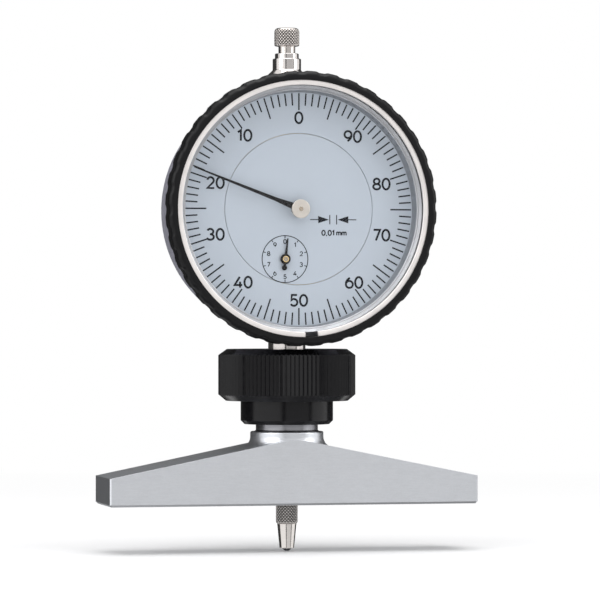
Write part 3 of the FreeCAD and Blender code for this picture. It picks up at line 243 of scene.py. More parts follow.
def turned(radius: np.ndarray, height: np.ndarray, angle: np.ndarray, axis: Axis,
           centre: np.ndarray) -> np.ndarray:
    """Turns a profile round an axis.

    Point (i, j) lies at radius[i, j] from the axis and height[i] along it, at angle j: the sine and
    cosine of the angle times the radius are its two coordinates across the axis.

    Args:
        radius: grid of radii, rows along the profile and columns round the axis.
        height: height of each row along the axis.
        angle: angle of each column in radians.
        axis: upright, or the dial's axis from front to back.
        centre: the two coordinates of the axis.

    Returns:
        Points, three columns, row after row.
    """
    along = np.broadcast_to(height[:, None], radius.shape)
    if axis is Axis.UPRIGHT:
        parts = (centre[0] + radius * np.cos(angle), centre[1] + radius * np.sin(angle), along)
    else:
        parts = (centre[0] - radius * np.sin(angle), along, centre[1] + radius * np.cos(angle))
    return np.stack(parts, axis=-1).reshape(-1, 3)


def piece(name: str, points: np.ndarray, faces: Iterable[np.ndarray],
          sharp: float = 35.0) -> bpy.types.Object:
    """Makes a closed mesh from points and faces, merged, facing outwards and smoothly shaded.

    Args:
        name: name of the piece.
        points: corner points in millimetres, three columns.
        faces: arrays of corner numbers, one row per face.
        sharp: angle between faces in degrees from which their edge stays sharp.

    Returns:
        The new object, at the origin, with its place in its mesh.
    """
    mesh = bpy.data.meshes.new(name)
    loops = [face for rows in faces for face in rows.tolist()]
    mesh.from_pydata((points * MM).tolist(), [], loops)
    work = bmesh.new()
    work.from_mesh(mesh)
    bmesh.ops.remove_doubles(work, verts=work.verts, dist=DOUBLES)
    bmesh.ops.dissolve_degenerate(work, edges=work.edges, dist=DOUBLES)
    bmesh.ops.recalc_face_normals(work, faces=work.faces)
    work.to_mesh(mesh)
    work.free()
    mesh.polygons.foreach_set("use_smooth", np.ones(len(mesh.polygons), bool))
    mesh.set_sharp_from_angle(angle=math.radians(sharp))
    made = bpy.data.objects.new(name, mesh)
    bpy.context.scene.collection.objects.link(made)
    return made


def places_of(made: bpy.types.Object) -> np.ndarray:
    """Gives the corner points of a piece in millimetres, three columns."""
    place = np.empty(len(made.data.vertices) * 3)
    made.data.vertices.foreach_get("co", place)
    return place.reshape(-1, 3) * PER_METRE


def mark(made: bpy.types.Object, name: str, values: np.ndarray) -> None:
    """Keeps one value per corner point of a piece as a named attribute."""
    made.data.attributes.new(name, "FLOAT", "POINT").data.foreach_set("value", values.astype(np.float32))


def lay(made: bpy.types.Object, body: Body, material: bpy.types.Material,
        stands_for: Sequence[str] = ()) -> None:
    """Puts a new piece on its body, with its finish and the nodes it stands for.

    Args:
        made: the piece.
        body: the body it rides on.
        material: its material.
        stands_for: nodes of the frame that it replaces.
    """
    made.data.materials.clear()
    made.data.materials.append(material)
    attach(made, body.value)
    if stands_for:
        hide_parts(*stands_for)
    log.info("%s: %d faces on %s", made.name, len(made.data.polygons), body.value)


def dress(nodes: dict[str, bpy.types.Object], names: Sequence[str], material: bpy.types.Material) -> None:
    """Gives nodes of the frame a finish.

    Args:
        nodes: the frame's nodes by name.
        names: the nodes to dress.
        material: their material.
    """
    for name in names:
        nodes[name].data.materials.clear()
        nodes[name].data.materials.append(material)
        log.info("%s: %s", name, material.name)


# ---------------------------------------------------------------------------------------------------
# Finishes
# ---------------------------------------------------------------------------------------------------


class Tree:
    """The node tree of one material, with short calls for what the finishes share."""

    def __init__(self, name: str) -> None:
        """Starts a material with one Principled shader.

        Args:
            name: name of the material.
        """
        self.material = bpy.data.materials.new(name)
        self.material.use_nodes = True
        self.nodes = self.material.node_tree.nodes
        self.links = self.material.node_tree.links
        self.nodes.clear()
        self.output = self.add("ShaderNodeOutputMaterial")
        self.shader = self.add("ShaderNodeBsdfPrincipled")
        self.links.new(self.shader.outputs[0], self.output.inputs["Surface"])

    def add(self, kind: str, inputs: dict[Any, Any] | None = None, **settings: Any) -> bpy.types.Node:
        """Adds a node.

        Args:
            kind: the node's type.
            inputs: values or sockets for its inputs, by name or number.
            settings: the node's own properties.

        Returns:
            The node.
        """
        node = self.nodes.new(kind)
        for key, value in settings.items():
            setattr(node, key, value)
        for key, value in (inputs or {}).items():
            if isinstance(value, bpy.types.NodeSocket):
                self.links.new(value, node.inputs[key])
            else:
                node.inputs[key].default_value = value
        return node

    def settle(self, **values: Any) -> None:
        """Sets inputs of the Principled shader, with underscores for spaces in their names."""
        for key, value in values.items():
            socket = self.shader.inputs[key.replace("_", " ")]
            if isinstance(value, bpy.types.NodeSocket):
                self.links.new(value, socket)
            else:
                socket.default_value = (*value, 1.0) if isinstance(value, tuple) else value

    def place(self, stretch: Sequence[float] = (1, 1, 1), centre: Sequence[float] = (0, 0, 0)) -> Any:
        """Gives the piece's own coordinates in millimetres, centred and stretched.

        Args:
            stretch: factor on each coordinate.
            centre: the point, in millimetres, that becomes zero.

        Returns:
            A vector socket.
        """
        where = self.add("ShaderNodeTexCoord").outputs["Object"]
        scale = [PER_METRE * s for s in stretch]
        return self.add("ShaderNodeMapping", {
            "Vector": where, "Scale": scale, "Location": [-c * s for c, s in zip(centre, stretch)],
        }).outputs[0]

    def turning(self, axis: Axis, centre: np.ndarray, around: float = 1.0) -> Any:
        """Gives coordinates that follow a lathe tool.

        The first is the distance from the axis, the second the place along it, and the third the angle
        in radians times a factor.

        Args:
            axis: the line that the piece was turned round.
            centre: the two coordinates of that line in millimetres.
            around: factor on the angle.

        Returns:
            A vector socket.
        """
        upright = axis is Axis.UPRIGHT
        middle = (centre[0], centre[1], 0.0) if upright else (centre[0], 0.0, centre[1])
        parts = self.add("ShaderNodeSeparateXYZ", {0: self.place(centre=middle)})
        across, up, along = (0, 1, 2) if upright else (0, 2, 1)
        flat = self.add("ShaderNodeCombineXYZ", {0: parts.outputs[across], 1: parts.outputs[up]})
        length = self.add("ShaderNodeVectorMath", {0: flat.outputs[0]}, operation="LENGTH")
        angle = self.math("ARCTAN2", parts.outputs[up], parts.outputs[across])
        return self.add("ShaderNodeCombineXYZ", {
            0: length.outputs["Value"], 1: parts.outputs[along], 2: self.math("MULTIPLY", angle, around),
        }).outputs[0]

    def stretched(self, vector: Any, factors: Sequence[float]) -> Any:
        """Multiplies a vector by three factors and gives the socket."""
        node = self.add("ShaderNodeVectorMath", {0: vector, 1: list(factors)}, operation="MULTIPLY")
        return node.outputs[0]

    def math(self, operation: str, first: Any, second: Any = 0.0) -> Any:
        """Gives the result of a Math node on two values or sockets."""
        return self.add("ShaderNodeMath", {0: first, 1: second}, operation=operation).outputs[0]

    def weighed(self, first: Any, first_weight: float, second: Any, second_weight: float) -> Any:
        """Gives the sum of two values, each times its weight."""
        return self.math("ADD", self.math("MULTIPLY", first, first_weight),
                         self.math("MULTIPLY", second, second_weight))

    def noise(self, vector: Any, scale: float, detail: float = 2.0, rough: float = 0.5) -> Any:
        """Gives a noise value from 0 to 1 at a scale of so many features per unit."""
        return self.add("ShaderNodeTexNoise", {
            "Vector": vector, "Scale": scale, "Detail": detail, "Roughness": rough,
        }).outputs[0]

    def spread(self, value: Any, low: float, high: float, to_low: float, to_high: float) -> Any:
        """Maps a value from one range to another, held at the ends, and gives the socket."""
        return self.add("ShaderNodeMapRange", {
            "Value": value, "From Min": low, "From Max": high, "To Min": to_low, "To Max": to_high,
        }).outputs[0]

    def blend(self, share: Any, first: Any, second: Any) -> Any:
        """Mixes two colours by a share and gives the socket."""
        mix = self.add("ShaderNodeMix", data_type="RGBA")
        for number, value in ((0, share), (6, first), (7, second)):
            if isinstance(value, bpy.types.NodeSocket):
                self.links.new(value, mix.inputs[number])
            else:
                mix.inputs[number].default_value = (*value, 1.0) if isinstance(value, tuple) else value
        return mix.outputs[2]

    def tones(self, share: Any, colour: Colour, contrast: float) -> Any:
        """Mixes a darker and a lighter tone of a colour by a share and gives the socket."""
        return self.blend(share, shade(colour, 1 - contrast), shade(colour, 1 + contrast))

    def edge(self, radius: float) -> Any:
        """Gives normals that round off the piece's sharp edges by a radius in millimetres."""
        return self.add("ShaderNodeBevel", {"Radius": radius * MM}, samples=6).outputs[0]

    def bump(self, height: Any, depth: float, strength: float = 1.0, normal: Any = None) -> Any:
        """Gives normals of a surface raised by a height from 0 to 1, at a depth in millimetres."""
        inputs = {"Height": height, "Distance": depth * MM, "Strength": strength}
        if normal is not None:
            inputs["Normal"] = normal
        return self.add("ShaderNodeBump", inputs).outputs[0]


def shade(colour: Colour, factor: float) -> Colour:
    """Gives a colour made darker or lighter by a factor."""
    return tuple(min(1.0, c * factor) for c in colour)


@dataclass(frozen=True)
class GroundMetal:
    """Metal ground on a flat wheel: fine lines one way, small pits and slightly darker patches."""

    name: str
    colour: Colour
    roughness: float = 0.30
    grain: tuple[float, float, float] = (0.12, 5.0, 5.0)
    depth: float = 0.004
    contrast: float = 0.10
    edge: float = 0.12

    def material(self) -> bpy.types.Material:
        """Builds the material from streaks stretched along the grain, a speckle and a slow cloud."""
        tree = Tree(self.name)
        streak = tree.noise(tree.place(self.grain), 1.0, 4.0, 0.6)
        hair = tree.noise(tree.place(tuple(3.1 * g for g in self.grain)), 1.0, 2.0, 0.7)
        speckle = tree.noise(tree.place(), 2.6, 2.0, 0.7)
        cloud = tree.noise(tree.place(), 0.09, 2.0)
        lines = tree.weighed(streak, 0.6, hair, 0.4)
        marks = tree.weighed(lines, 0.7, speckle, 0.3)
        share = tree.spread(tree.math("ADD", marks, tree.math("MULTIPLY", cloud, 0.25)), 0.42, 0.82, 0.0, 1.0)
        tree.settle(
            Base_Color=tree.tones(share, self.colour, self.contrast),
            Metallic=1.0,
            Roughness=tree.spread(marks, 0.3, 0.7, self.roughness - 0.05, self.roughness + 0.07),
            Normal=tree.bump(lines, self.depth, 1.0, tree.edge(self.edge)),
        )
        return tree.material


@dataclass(frozen=True)
class TurnedMetal:
    """Bare or plated metal from the lathe: rings that the tool left, under a polish."""

    name: str
    colour: Colour
    roughness: float = 0.14
    axis: Axis = Axis.UPRIGHT
    centre: tuple[float, float] = (0.0, 0.0)
    lines: float = 5.0
    depth: float = 0.0015
    contrast: float = 0.05
    edge: float = 0.08
    # Share of the colour left in a knurl's grooves, as painted shade; 1 paints none.
    groove: float = 1.0

    def material(self) -> bpy.types.Material:
        """Builds the material from noise that is fine across the tool marks and slow round the axis.

        Where the piece has a knurl, its grooves are darkened by the groove factor: painted shade in the
        grooves.
        """
        tree = Tree(self.name)
        path = tree.turning(self.axis, np.array(self.centre), 1.3)
        rings = tree.noise(tree.stretched(path, (self.lines, self.lines, 0.5)), 1.0, 3.0, 0.65)
        bands = tree.noise(tree.stretched(path, (0.5, 0.5, 0.8)), 1.0, 2.0)
        smear = tree.noise(tree.place(), 0.5, 3.0, 0.6)
        marks = tree.weighed(rings, 0.6, bands, 0.4)
        tone = tree.tones(tree.spread(marks, 0.3, 0.7, 0.0, 1.0), self.colour, self.contrast)
        # Painted shade: the knurl's grooves are darkened by the crest attribute, towards the groove share of
        # the colour.
        if self.groove < 1:
            crest = tree.add("ShaderNodeAttribute", attribute_name="crest").outputs["Fac"]
            tone = tree.blend(tree.spread(crest, 0.15, 0.85, 0.0, 1.0), shade(self.colour, self.groove), tone)
        tree.settle(
            Base_Color=tone,
            Metallic=1.0,
            Roughness=tree.spread(tree.weighed(smear, 0.6, marks, 0.4), 0.35, 0.65,
                                  self.roughness * 0.8, self.roughness * 1.3),
            Normal=tree.bump(rings, self.depth, 1.0, tree.edge(self.edge)),
        )
        return tree.material


@dataclass(frozen=True)
class BlackAnodised:
    """Aluminium under a black oxide: nearly black, satin, with fine tool marks and paler rubbed edges."""

    name: str
    colour: Colour
    rubbed: Colour
    roughness: float = 0.34
    lines: float = 6.0
    depth: float = 0.002

    def material(self) -> bpy.types.Material:
        """Builds the material from turning marks, a mottle and a rubbed tint where the edges are round."""
        tree = Tree(self.name)
        path = tree.turning(Axis.UPRIGHT, np.zeros(2), 1.0)
        rings = tree.noise(tree.stretched(path, (self.lines, self.lines, 0.4)), 1.0, 3.0, 0.6)
        mottle = tree.noise(tree.place(), 1.3, 3.0, 0.65)
        soft = tree.edge(0.16)
        flat = tree.add("ShaderNodeNewGeometry").outputs["Normal"]
        along = tree.add("ShaderNodeVectorMath", {0: soft, 1: flat}, operation="DOT_PRODUCT").outputs["Value"]
        worn = tree.math("MULTIPLY", tree.spread(along, 0.99, 0.86, 0.0, 0.5),
                         tree.spread(mottle, 0.35, 0.65, 0.2, 1.0))
        base = tree.tones(tree.spread(rings, 0.3, 0.7, 0.0, 1.0), self.colour, 0.25)
        tree.settle(
            Base_Color=tree.blend(worn, base, self.rubbed),
            Metallic=0.0,
            Roughness=tree.spread(mottle, 0.3, 0.7, self.roughness - 0.05, self.roughness + 0.06),
            Normal=tree.bump(rings, self.depth, 1.0, soft),
            Specular_IOR_Level=0.32,
        )
        return tree.material


@dataclass(frozen=True)
class Moulded:
    """Moulded or coated surface: one colour with a faint mottle and a fine skin."""

    name: str
    colour: Colour
    roughness: float = 0.28
    skin: float = 2.2
    depth: float = 0.004
    contrast: float = 0.08
    edge: float = 0.15
    sheen_level: float = 0.5
    coat: float = 0.0

    def material(self) -> bpy.types.Material:
        """Builds the material from a fine skin, a slow cloud in colour and gloss, and rounded edges."""
        tree = Tree(self.name)
        skin = tree.noise(tree.place(), self.skin, 3.0, 0.55)
        cloud = tree.noise(tree.place(), 0.12, 3.0, 0.6)
        scuff = tree.noise(tree.place(), 0.8, 5.0, 0.75)
        tree.settle(
            Base_Color=tree.tones(tree.spread(tree.weighed(cloud, 0.6, skin, 0.4), 0.3, 0.7, 0.0, 1.0),
                                  self.colour, self.contrast),
            Metallic=0.0,
            Roughness=tree.spread(scuff, 0.3, 0.72, self.roughness - 0.04, self.roughness + 0.08),
            Normal=tree.bump(skin, self.depth, 1.0, tree.edge(self.edge)),
            Specular_IOR_Level=self.sheen_level,
            Coat_Weight=self.coat,
            Coat_Roughness=0.12,
        )
        return tree.material


@dataclass(frozen=True)
class SilverDial:
    """Matt silvered dial: a fine even grain that breaks up the light."""

    name: str
    colour: Colour
    roughness: float = 0.52
    metallic: float = 0.25

    def material(self) -> bpy.types.Material:
        """Builds the material from a sandblasted grain and a very slow change of tone."""
        tree = Tree(self.name)
        grain = tree.noise(tree.place(), 7.0, 3.0, 0.7)
        tone = tree.noise(tree.place(), 0.05, 1.0)
        share = tree.spread(tree.weighed(grain, 0.7, tone, 0.3), 0.35, 0.65, 0.0, 1.0)
        tree.settle(
            Base_Color=tree.tones(share, self.colour, 0.035),
            Metallic=self.metallic,
            Roughness=tree.spread(grain, 0.3, 0.7, self.roughness - 0.04, self.roughness + 0.06),
            Normal=tree.bump(grain, 0.004, 0.6, tree.edge(0.05)),
        )
        return tree.material


@dataclass(frozen=True)
class Ink:
    """Screen-printed dial ink: flat black that covers a little unevenly."""

    name: str
    colour: Colour

    def material(self) -> bpy.types.Material:
        """Builds the material from a fine unevenness in tone and height."""
        tree = Tree(self.name)
        cover = tree.noise(tree.place(), 9.0, 3.0, 0.65)
        tree.settle(
            Base_Color=tree.blend(tree.spread(cover, 0.35, 0.7, 0.0, 1.0),
                                  self.colour, shade(self.colour, 2.2)),
            Roughness=tree.spread(cover, 0.3, 0.7, 0.42, 0.6),
            Normal=tree.bump(cover, 0.002, 0.6),
            Specular_IOR_Level=0.08,
        )
        return tree.material


@dataclass(frozen=True)
class ClearCrystal:
    """Clear pane: lets shadows and stray light pass, and reflects as glass does."""

    name: str
    tint: Colour
    ior: float = 1.22

    def material(self) -> bpy.types.Material:
        """Builds the material: glass to the eye, a plain clear film to shadow and diffuse rays."""
        tree = Tree(self.name)
        haze = tree.noise(tree.place(), 0.4, 4.0, 0.7)
        tree.settle(
            Base_Color=tree.blend(haze, self.tint, shade(self.tint, 1.02)),
            Roughness=tree.spread(haze, 0.45, 0.8, 0.0, 0.012),
            Transmission_Weight=1.0,
            IOR=self.ior,
        )
        rays = tree.add("ShaderNodeLightPath")
        passing = tree.math("MAXIMUM", rays.outputs["Is Shadow Ray"], rays.outputs["Is Diffuse Ray"])
        clear = tree.add("ShaderNodeBsdfTransparent", {0: (*self.tint, 1.0)})
        mixed = tree.add("ShaderNodeMixShader", {0: passing, 1: tree.shader.outputs[0], 2: clear.outputs[0]})
        tree.links.new(mixed.outputs[0], tree.output.inputs["Surface"])
        return tree.material


# ---------------------------------------------------------------------------------------------------
# Lettering of the dial
# ---------------------------------------------------------------------------------------------------


def bow(x: float, z: float, across: float, up: float, first: float, last: float,
        points: int = 15) -> np.ndarray:
    """Gives points on part of an ellipse, at the cosine and sine of evenly spaced angles.

    Args:
        x: centre across.
        z: centre up.
        across: half axis across.
        up: half axis up.
        first: first angle in degrees from the right, counter-clockwise.
        last: last angle.
        points: number of points.

    Returns:
        The points, two columns.
    """
    turn = np.radians(np.linspace(first, last, points))
    return np.stack([x + across * np.cos(turn), z + up * np.sin(turn)], axis=1)


def stroke(*parts: Any) -> np.ndarray:
    """Joins points and arcs into one pen stroke, two columns."""
    return np.concatenate([np.atleast_2d(np.array(part, float)) for part in parts])


@dataclass(frozen=True)
class Sign:
    """One letter or digit as pen strokes: how far it advances, and its open and closed strokes."""

    advance: float
    open: tuple[np.ndarray, ...] = ()
    loops: tuple[np.ndarray, ...] = ()


class Lettering:
    """The dial's signs on a cell one unit high, laid out as pen strokes."""

    gap: float = 0.21

    def __init__(self) -> None:
        """Draws the signs from straight strokes and parts of ellipses."""
        full = {"first": 90, "last": 450, "points": 33}
        self.signs: dict[str, Sign] = {
            "0": Sign(0.90, loops=(bow(0.34, 0.5, 0.34, 0.5, **full)[:-1],)),
            "1": Sign(0.62, open=(stroke((0.02, 0.78), (0.30, 0.97), (0.30, 0.0)),)),
            "2": Sign(0.90, open=(stroke(bow(0.33, 0.70, 0.30, 0.30, 168, -36), (0.03, 0.0), (0.68, 0.0)),)),
            "3": Sign(0.90, open=(bow(0.31, 0.75, 0.28, 0.25, 158, -96, 15),
                                  bow(0.31, 0.255, 0.33, 0.255, 96, -160, 17))),
            "4": Sign(0.92, open=(stroke((0.70, 0.24), (0.0, 0.24), (0.47, 1.0)),
                                  stroke((0.50, 0.56), (0.50, 0.0)))),
            "5": Sign(0.90, open=(stroke((0.62, 1.0), (0.13, 1.0), (0.07, 0.50),
                                         bow(0.32, 0.315, 0.33, 0.315, 118, -152, 17)),)),
            "6": Sign(0.90, open=(bow(0.84, 0.33, 0.84, 0.70, 172, 122, 9),),
                      loops=(bow(0.34, 0.32, 0.33, 0.32, **full)[:-1],)),
            "7": Sign(0.86, open=(stroke((0.02, 1.0), (0.64, 1.0), (0.24, 0.0)),)),
            "8": Sign(0.90, loops=(bow(0.34, 0.75, 0.27, 0.25, **full)[:-1],
                                   bow(0.34, 0.25, 0.33, 0.25, **full)[:-1])),
            "9": Sign(0.90, open=(bow(-0.16, 0.67, 0.84, 0.70, -8, -58, 9),),
                      loops=(bow(0.34, 0.68, 0.33, 0.32, **full)[:-1],)),
            ",": Sign(0.42, open=(stroke((0.13, 0.08), (0.05, -0.16)),)),
            " ": Sign(0.32),
            "m": Sign(1.12, open=(stroke((0.0, 0.0), (0.0, 0.70)),
                                  stroke(bow(0.22, 0.45, 0.22, 0.22, 168, 0, 9), (0.44, 0.0)),
                                  stroke(bow(0.66, 0.45, 0.22, 0.22, 168, 0, 9), (0.88, 0.0)))),
        }

    def width(self, text: str) -> float:
        """Gives the width of a text in units of its height, without the last sign's gap."""
        return sum(self.signs[c].advance for c in text) - self.gap

    def strokes(self, text: str, height: float, x: float, z: float) -> list[tuple[np.ndarray, bool]]:
        """Lays a text out with its middle at a point.

        Args:
            text: the signs.
            height: height of a digit's centre line.
            x: place across of the text's middle.
            z: place up of the text's middle.

        Returns:
            Pen strokes in place, each with whether it closes.
        """
        pen, laid = -self.width(text) / 2, []
        for letter in text:
            sign = self.signs[letter]
            for lines, closes in ((sign.open, False), (sign.loops, True)):
                laid += [((line + (pen, -0.5)) * height + (x, z), closes) for line in lines]
            pen += sign.advance
        return laid


@dataclass
class Print:
    """Ink laid on the dial: ribbons, bars and pointed marks, gathered into one mesh."""

    front: float
    back: float
    points: list[np.ndarray] = field(default_factory=list)
    faces: list[np.ndarray] = field(default_factory=list)

    def _take(self, points: np.ndarray, faces: Iterable[np.ndarray]) -> None:
        """Adds points and faces numbered from the points' first."""
        first = sum(len(block) for block in self.points)
        self.points.append(points)
        self.faces += [rows + first for rows in faces]

    def ribbon(self, line: np.ndarray, width: float, closes: bool) -> None:
        """Carries a flat bar along a line in the dial's plane.

        Each point is moved to both sides along the mitre of its two neighbouring runs: the sum of
        their normals, divided by one plus the cosine of the angle between them.

        Args:
            line: points of the line, two columns.
            width: width of the bar.
            closes: whether the line's end joins its start.
        """
        ahead = np.roll(line, -1, 0) - line
        if not closes:
            ahead[-1] = ahead[-2]
        normal = np.stack([-ahead[:, 1], ahead[:, 0]], axis=1) / np.linalg.norm(ahead, axis=1, keepdims=True)
        before = np.roll(normal, 1, 0)
        if not closes:
            before[0] = normal[0]
        mitre = (normal + before) / np.maximum(1 + (normal * before).sum(1, keepdims=True), 0.4)
        sides = np.stack([line + mitre * width / 2, line - mitre * width / 2], axis=1)
        corners = np.stack([sides[:, 0], sides[:, 1], sides[:, 1], sides[:, 0]], axis=1)
        depth = np.broadcast_to(np.array([self.front, self.front, self.back, self.back]), corners.shape[:2])
        points = np.stack([corners[..., 0], depth, corners[..., 1]], axis=-1).reshape(-1, 3)
        rows = [cells(len(line), 4, closes, True)]
        if not closes:
            rows += [np.array([[0, 1, 2, 3]]), np.array([[3, 2, 1, 0]]) + 4 * (len(line) - 1)]
        self._take(points, rows)

    def bars(self, start: np.ndarray, end: np.ndarray, width: float | np.ndarray) -> None:
        """Lays straight bars from start to end points, all at once, as boxes.

        Args:
            start: first ends, two columns.
            end: last ends, two columns.
            width: one width, or one per bar.
        """
        along = end - start
        side = np.stack([-along[:, 1], along[:, 0]], axis=1) / np.linalg.norm(along, axis=1, keepdims=True)
        side = side * np.broadcast_to(width, (len(start),))[:, None] / 2
        ring = np.stack([start + side, start - side, end - side, end + side], axis=1)
        both = np.concatenate([ring, ring], axis=1)
        depth = np.broadcast_to(np.repeat([self.front, self.back], 4), both.shape[:2])
        points = np.stack([both[..., 0], depth, both[..., 1]], axis=-1).reshape(-1, 3)
        box = np.array([[0, 1, 2, 3], [7, 6, 5, 4], [0, 4, 5, 1], [1, 5, 6, 2], [2, 6, 7, 3], [3, 7, 4, 0]])
        self._take(points, [(box[None] + 8 * np.arange(len(start))[:, None, None]).reshape(-1, 4)])

    def wedge(self, tip: Sequence[float], length: float, half: float) -> None:
        """Lays a three-cornered arrowhead.

        Args:
            tip: the point.
            length: from the point to the base, negative for a point that looks left.
            half: half the base.
        """
        ring = np.array([tip, (tip[0] - length, tip[1] + half), (tip[0] - length, tip[1] - half)])
        depth = np.repeat([self.front, self.back], 3)
        points = np.stack([np.tile(ring[:, 0], 2), depth, np.tile(ring[:, 1], 2)], axis=1)
        ends, sides = [[0, 1, 2], [5, 4, 3]], [[0, 3, 4, 1], [1, 4, 5, 2], [2, 5, 3, 0]]
        self._take(points, [np.array(ends), np.array(sides)])

    def text(self, lettering: Lettering, text: str, height: float, width: float, x: float, z: float) -> None:
        """Writes a text with its middle at a point.

        Args:
            lettering: the signs to write with.
            text: what is written.
            height: height of a digit over its ink.
            width: width of the pen.
            x: middle across.
            z: middle up.
        """
        for line, closes in lettering.strokes(text, height - width, x, z):
            self.ribbon(line, width, closes)

    def made(self, name: str) -> bpy.types.Object:
        """Gives the print as one piece with a name."""
        return piece(name, np.concatenate(self.points), self.faces, 20.0)


# ---------------------------------------------------------------------------------------------------
# Sub-assemblies
# ---------------------------------------------------------------------------------------------------


@dataclass
class TurningBezel:
    """The lobed bezel with its snap ring, crystal and sloping ring."""

    lobes: int = 40
    lobe_angle: float = 5.5
    lobe_depth: float = 0.24
    crest_share: float = 0.40
    trough_share: float = 0.20
    shoulder: float = 1.15
    edge: float = 0.16
    radius: float = 29.0
    mouth: float = 27.0
    groove: float = 27.12
    ledge: float = 25.5
    bore: float = 26.05
    ring_width: float = 1.15
    ring_opening: float = 2.8
    ring_opening_angle: float = -176.4
    ring_play: float = 0.01
    ring_edge: float = 0.12
    ring_back_edge: float = 0.06
    ring_columns: int = 420
    tip_inset: tuple[float, ...] = (0.0, 0.0, 0.3, 1.0)
    tip_size: tuple[float, ...] = (0.0, 0.7, 0.92, 1.0)
    rear_edge: float = 0.3
    bore_edge: float = 0.1
    ledge_edge: float = 0.05
    groove_edge: float = 0.02
    ledge_inset: float = 1.2
    ledge_drop: float = 0.4
    dip_reach: float = 1.5
    dip_fade: float = 1.2
    edge_points: int = 9
    row_step: float = 0.55
    columns_per_lobe: int = 22

    def __post_init__(self) -> None:
        """Reads the bezel's centre, faces and seats from the frame."""
        self.centre = dial_centre()
        self.front, self.rear = depths("bezel")
        self.crystal_back = depths("crystal")[1]
        self.ring_front, self.ring_back = depths("snap_ring")

    def dip(self, degrees: np.ndarray) -> np.ndarray:
        """Gives how deep the rim is dipped at an angle.

        The share of a lobe's pitch from the middle of its dip, less half the dip's flat, over the
        width of the slope, is smoothed by three t squared less two t cubed.

        Args:
            degrees: angles round the rim.

        Returns:
            0 on a crest and 1 in a dip.
        """
        pitch = 360 / self.lobes
        away = np.abs(((degrees - self.lobe_angle) / pitch) % 1 - 0.5)
        slope = 0.5 - self.crest_share / 2 - self.trough_share / 2
        t = np.clip((away - self.trough_share / 2) / slope, 0, 1)
        return 1 - t * t * (3 - 2 * t)

    def rim(self) -> bpy.types.Object:
        """Turns the bezel's section round the dial and dips its outer wall between the lobes.

        The dip is full on the outer wall and fades to nothing where the front face begins.

        Returns:
            The bezel.
        """
        ledge_rear, ledge_front = self.rear - self.ledge_inset, self.crystal_back + self.ledge_drop
        section = rounded([
            (self.mouth, self.front, self.edge), (self.radius, self.front, self.shoulder),
            (self.radius, self.rear, self.rear_edge), (self.bore, self.rear, self.bore_edge),
            (self.bore, ledge_rear, self.ledge_edge), (self.ledge, ledge_rear, self.ledge_edge),
            (self.ledge, ledge_front, self.ledge_edge), (self.mouth, ledge_front, self.ledge_edge),
            (self.mouth, self.ring_back, self.groove_edge), (self.groove, self.ring_back, self.groove_edge),
            (self.groove, self.ring_front, self.groove_edge), (self.mouth, self.ring_front, self.groove_edge),
        ], self.edge_points)
        section = filled_in(np.concatenate([section, section[:1]]), self.row_step)[:-1]
        angle = np.linspace(0, FULL_TURN, self.lobes * self.columns_per_lobe, endpoint=False)
        outer = np.clip((section[:, 0] - (self.radius - self.dip_reach)) / self.dip_fade, 0, 1)
        share = (outer * outer * (3 - 2 * outer))[:, None]
        radius = section[:, :1] - self.lobe_depth * share * self.dip(np.degrees(angle))[None]
        points = turned(radius, section[:, 1], angle, Axis.DIAL, self.centre)
        return piece("bezel_rim", points, [cells(len(section), len(angle), True, True)])

    def ring(self) -> bpy.types.Object:
        """Carries a rounded flat section round the dial from one side of the opening to the other.

        The last rows at both ends shrink to the middle of the section, which rounds and closes them.

        Returns:
            The snap ring.
        """
        outer, inner = self.groove - self.ring_play, self.groove - self.ring_width
        section = rounded([(inner, self.ring_front, self.ring_edge), (outer, self.ring_front, self.ring_edge),
                           (outer, self.ring_back, self.ring_back_edge),
                           (inner, self.ring_back, self.ring_back_edge)])
        middle = section.mean(0)
        half = math.degrees(self.ring_opening / 2 / self.groove)
        tip = math.degrees(self.ring_edge / self.groove)
        inset, size = np.array(self.tip_inset), np.array(self.tip_size)
        first, last = self.ring_opening_angle + half, self.ring_opening_angle + 360 - half
        angle = np.concatenate([first + tip * inset,
                                np.linspace(first + 2 * tip, last - 2 * tip, self.ring_columns),
                                (last - tip * inset)[::-1]])
        scale = np.concatenate([size, np.ones(self.ring_columns), size[::-1]])
        radius = middle[0] + (section[:, 0] - middle[0])[:, None] * scale[None]
        depth = middle[1] + (section[:, 1] - middle[1])[:, None] * scale[None]
        x, z = round_dial(self.centre, radius, angle[None])
        points = np.stack([x, depth, z], axis=-1).reshape(-1, 3)
        return piece("snap_ring_rounded", points, [cells(len(section), len(angle), True, False)])

    def build(self, nodes: dict[str, bpy.types.Object]) -> None:
        """Makes the rim and the ring, and dresses what they hold."""
        centre = (self.centre[0], self.centre[1])
        black = Moulded("bezel_black", (0.006, 0.006, 0.0068), 0.32, 2.6, 0.002, 0.12, 0.1, 0.22, 0.0)
        lay(self.rim(), Body.BEZEL, black.material(), ["bezel"])
        silver = TurnedMetal("snap_ring_silver", (0.97, 0.93, 0.91), 0.5, Axis.DIAL, centre,
                             3.5, 0.0006, 0.02, 0.05)
        lay(self.ring(), Body.BEZEL, silver.material(), ["snap_ring"])
        spacer = TurnedMetal("spacer_silver", (0.43, 0.435, 0.45), 0.42, Axis.DIAL, centre,
                             4.0, 0.003, 0.06, 0.05)
        dress(nodes, ["spacer_ring"], spacer.material())
        dress(nodes, ["crystal"], ClearCrystal("crystal_clear", (0.985, 0.99, 1.0)).material())
        wire = TurnedMetal("spring_wire", (0.42, 0.42, 0.45), 0.28, Axis.DIAL, centre, 6.0, 0.002, 0.08, 0.03)
        dress(nodes, ["bezel_spring"], wire.material())


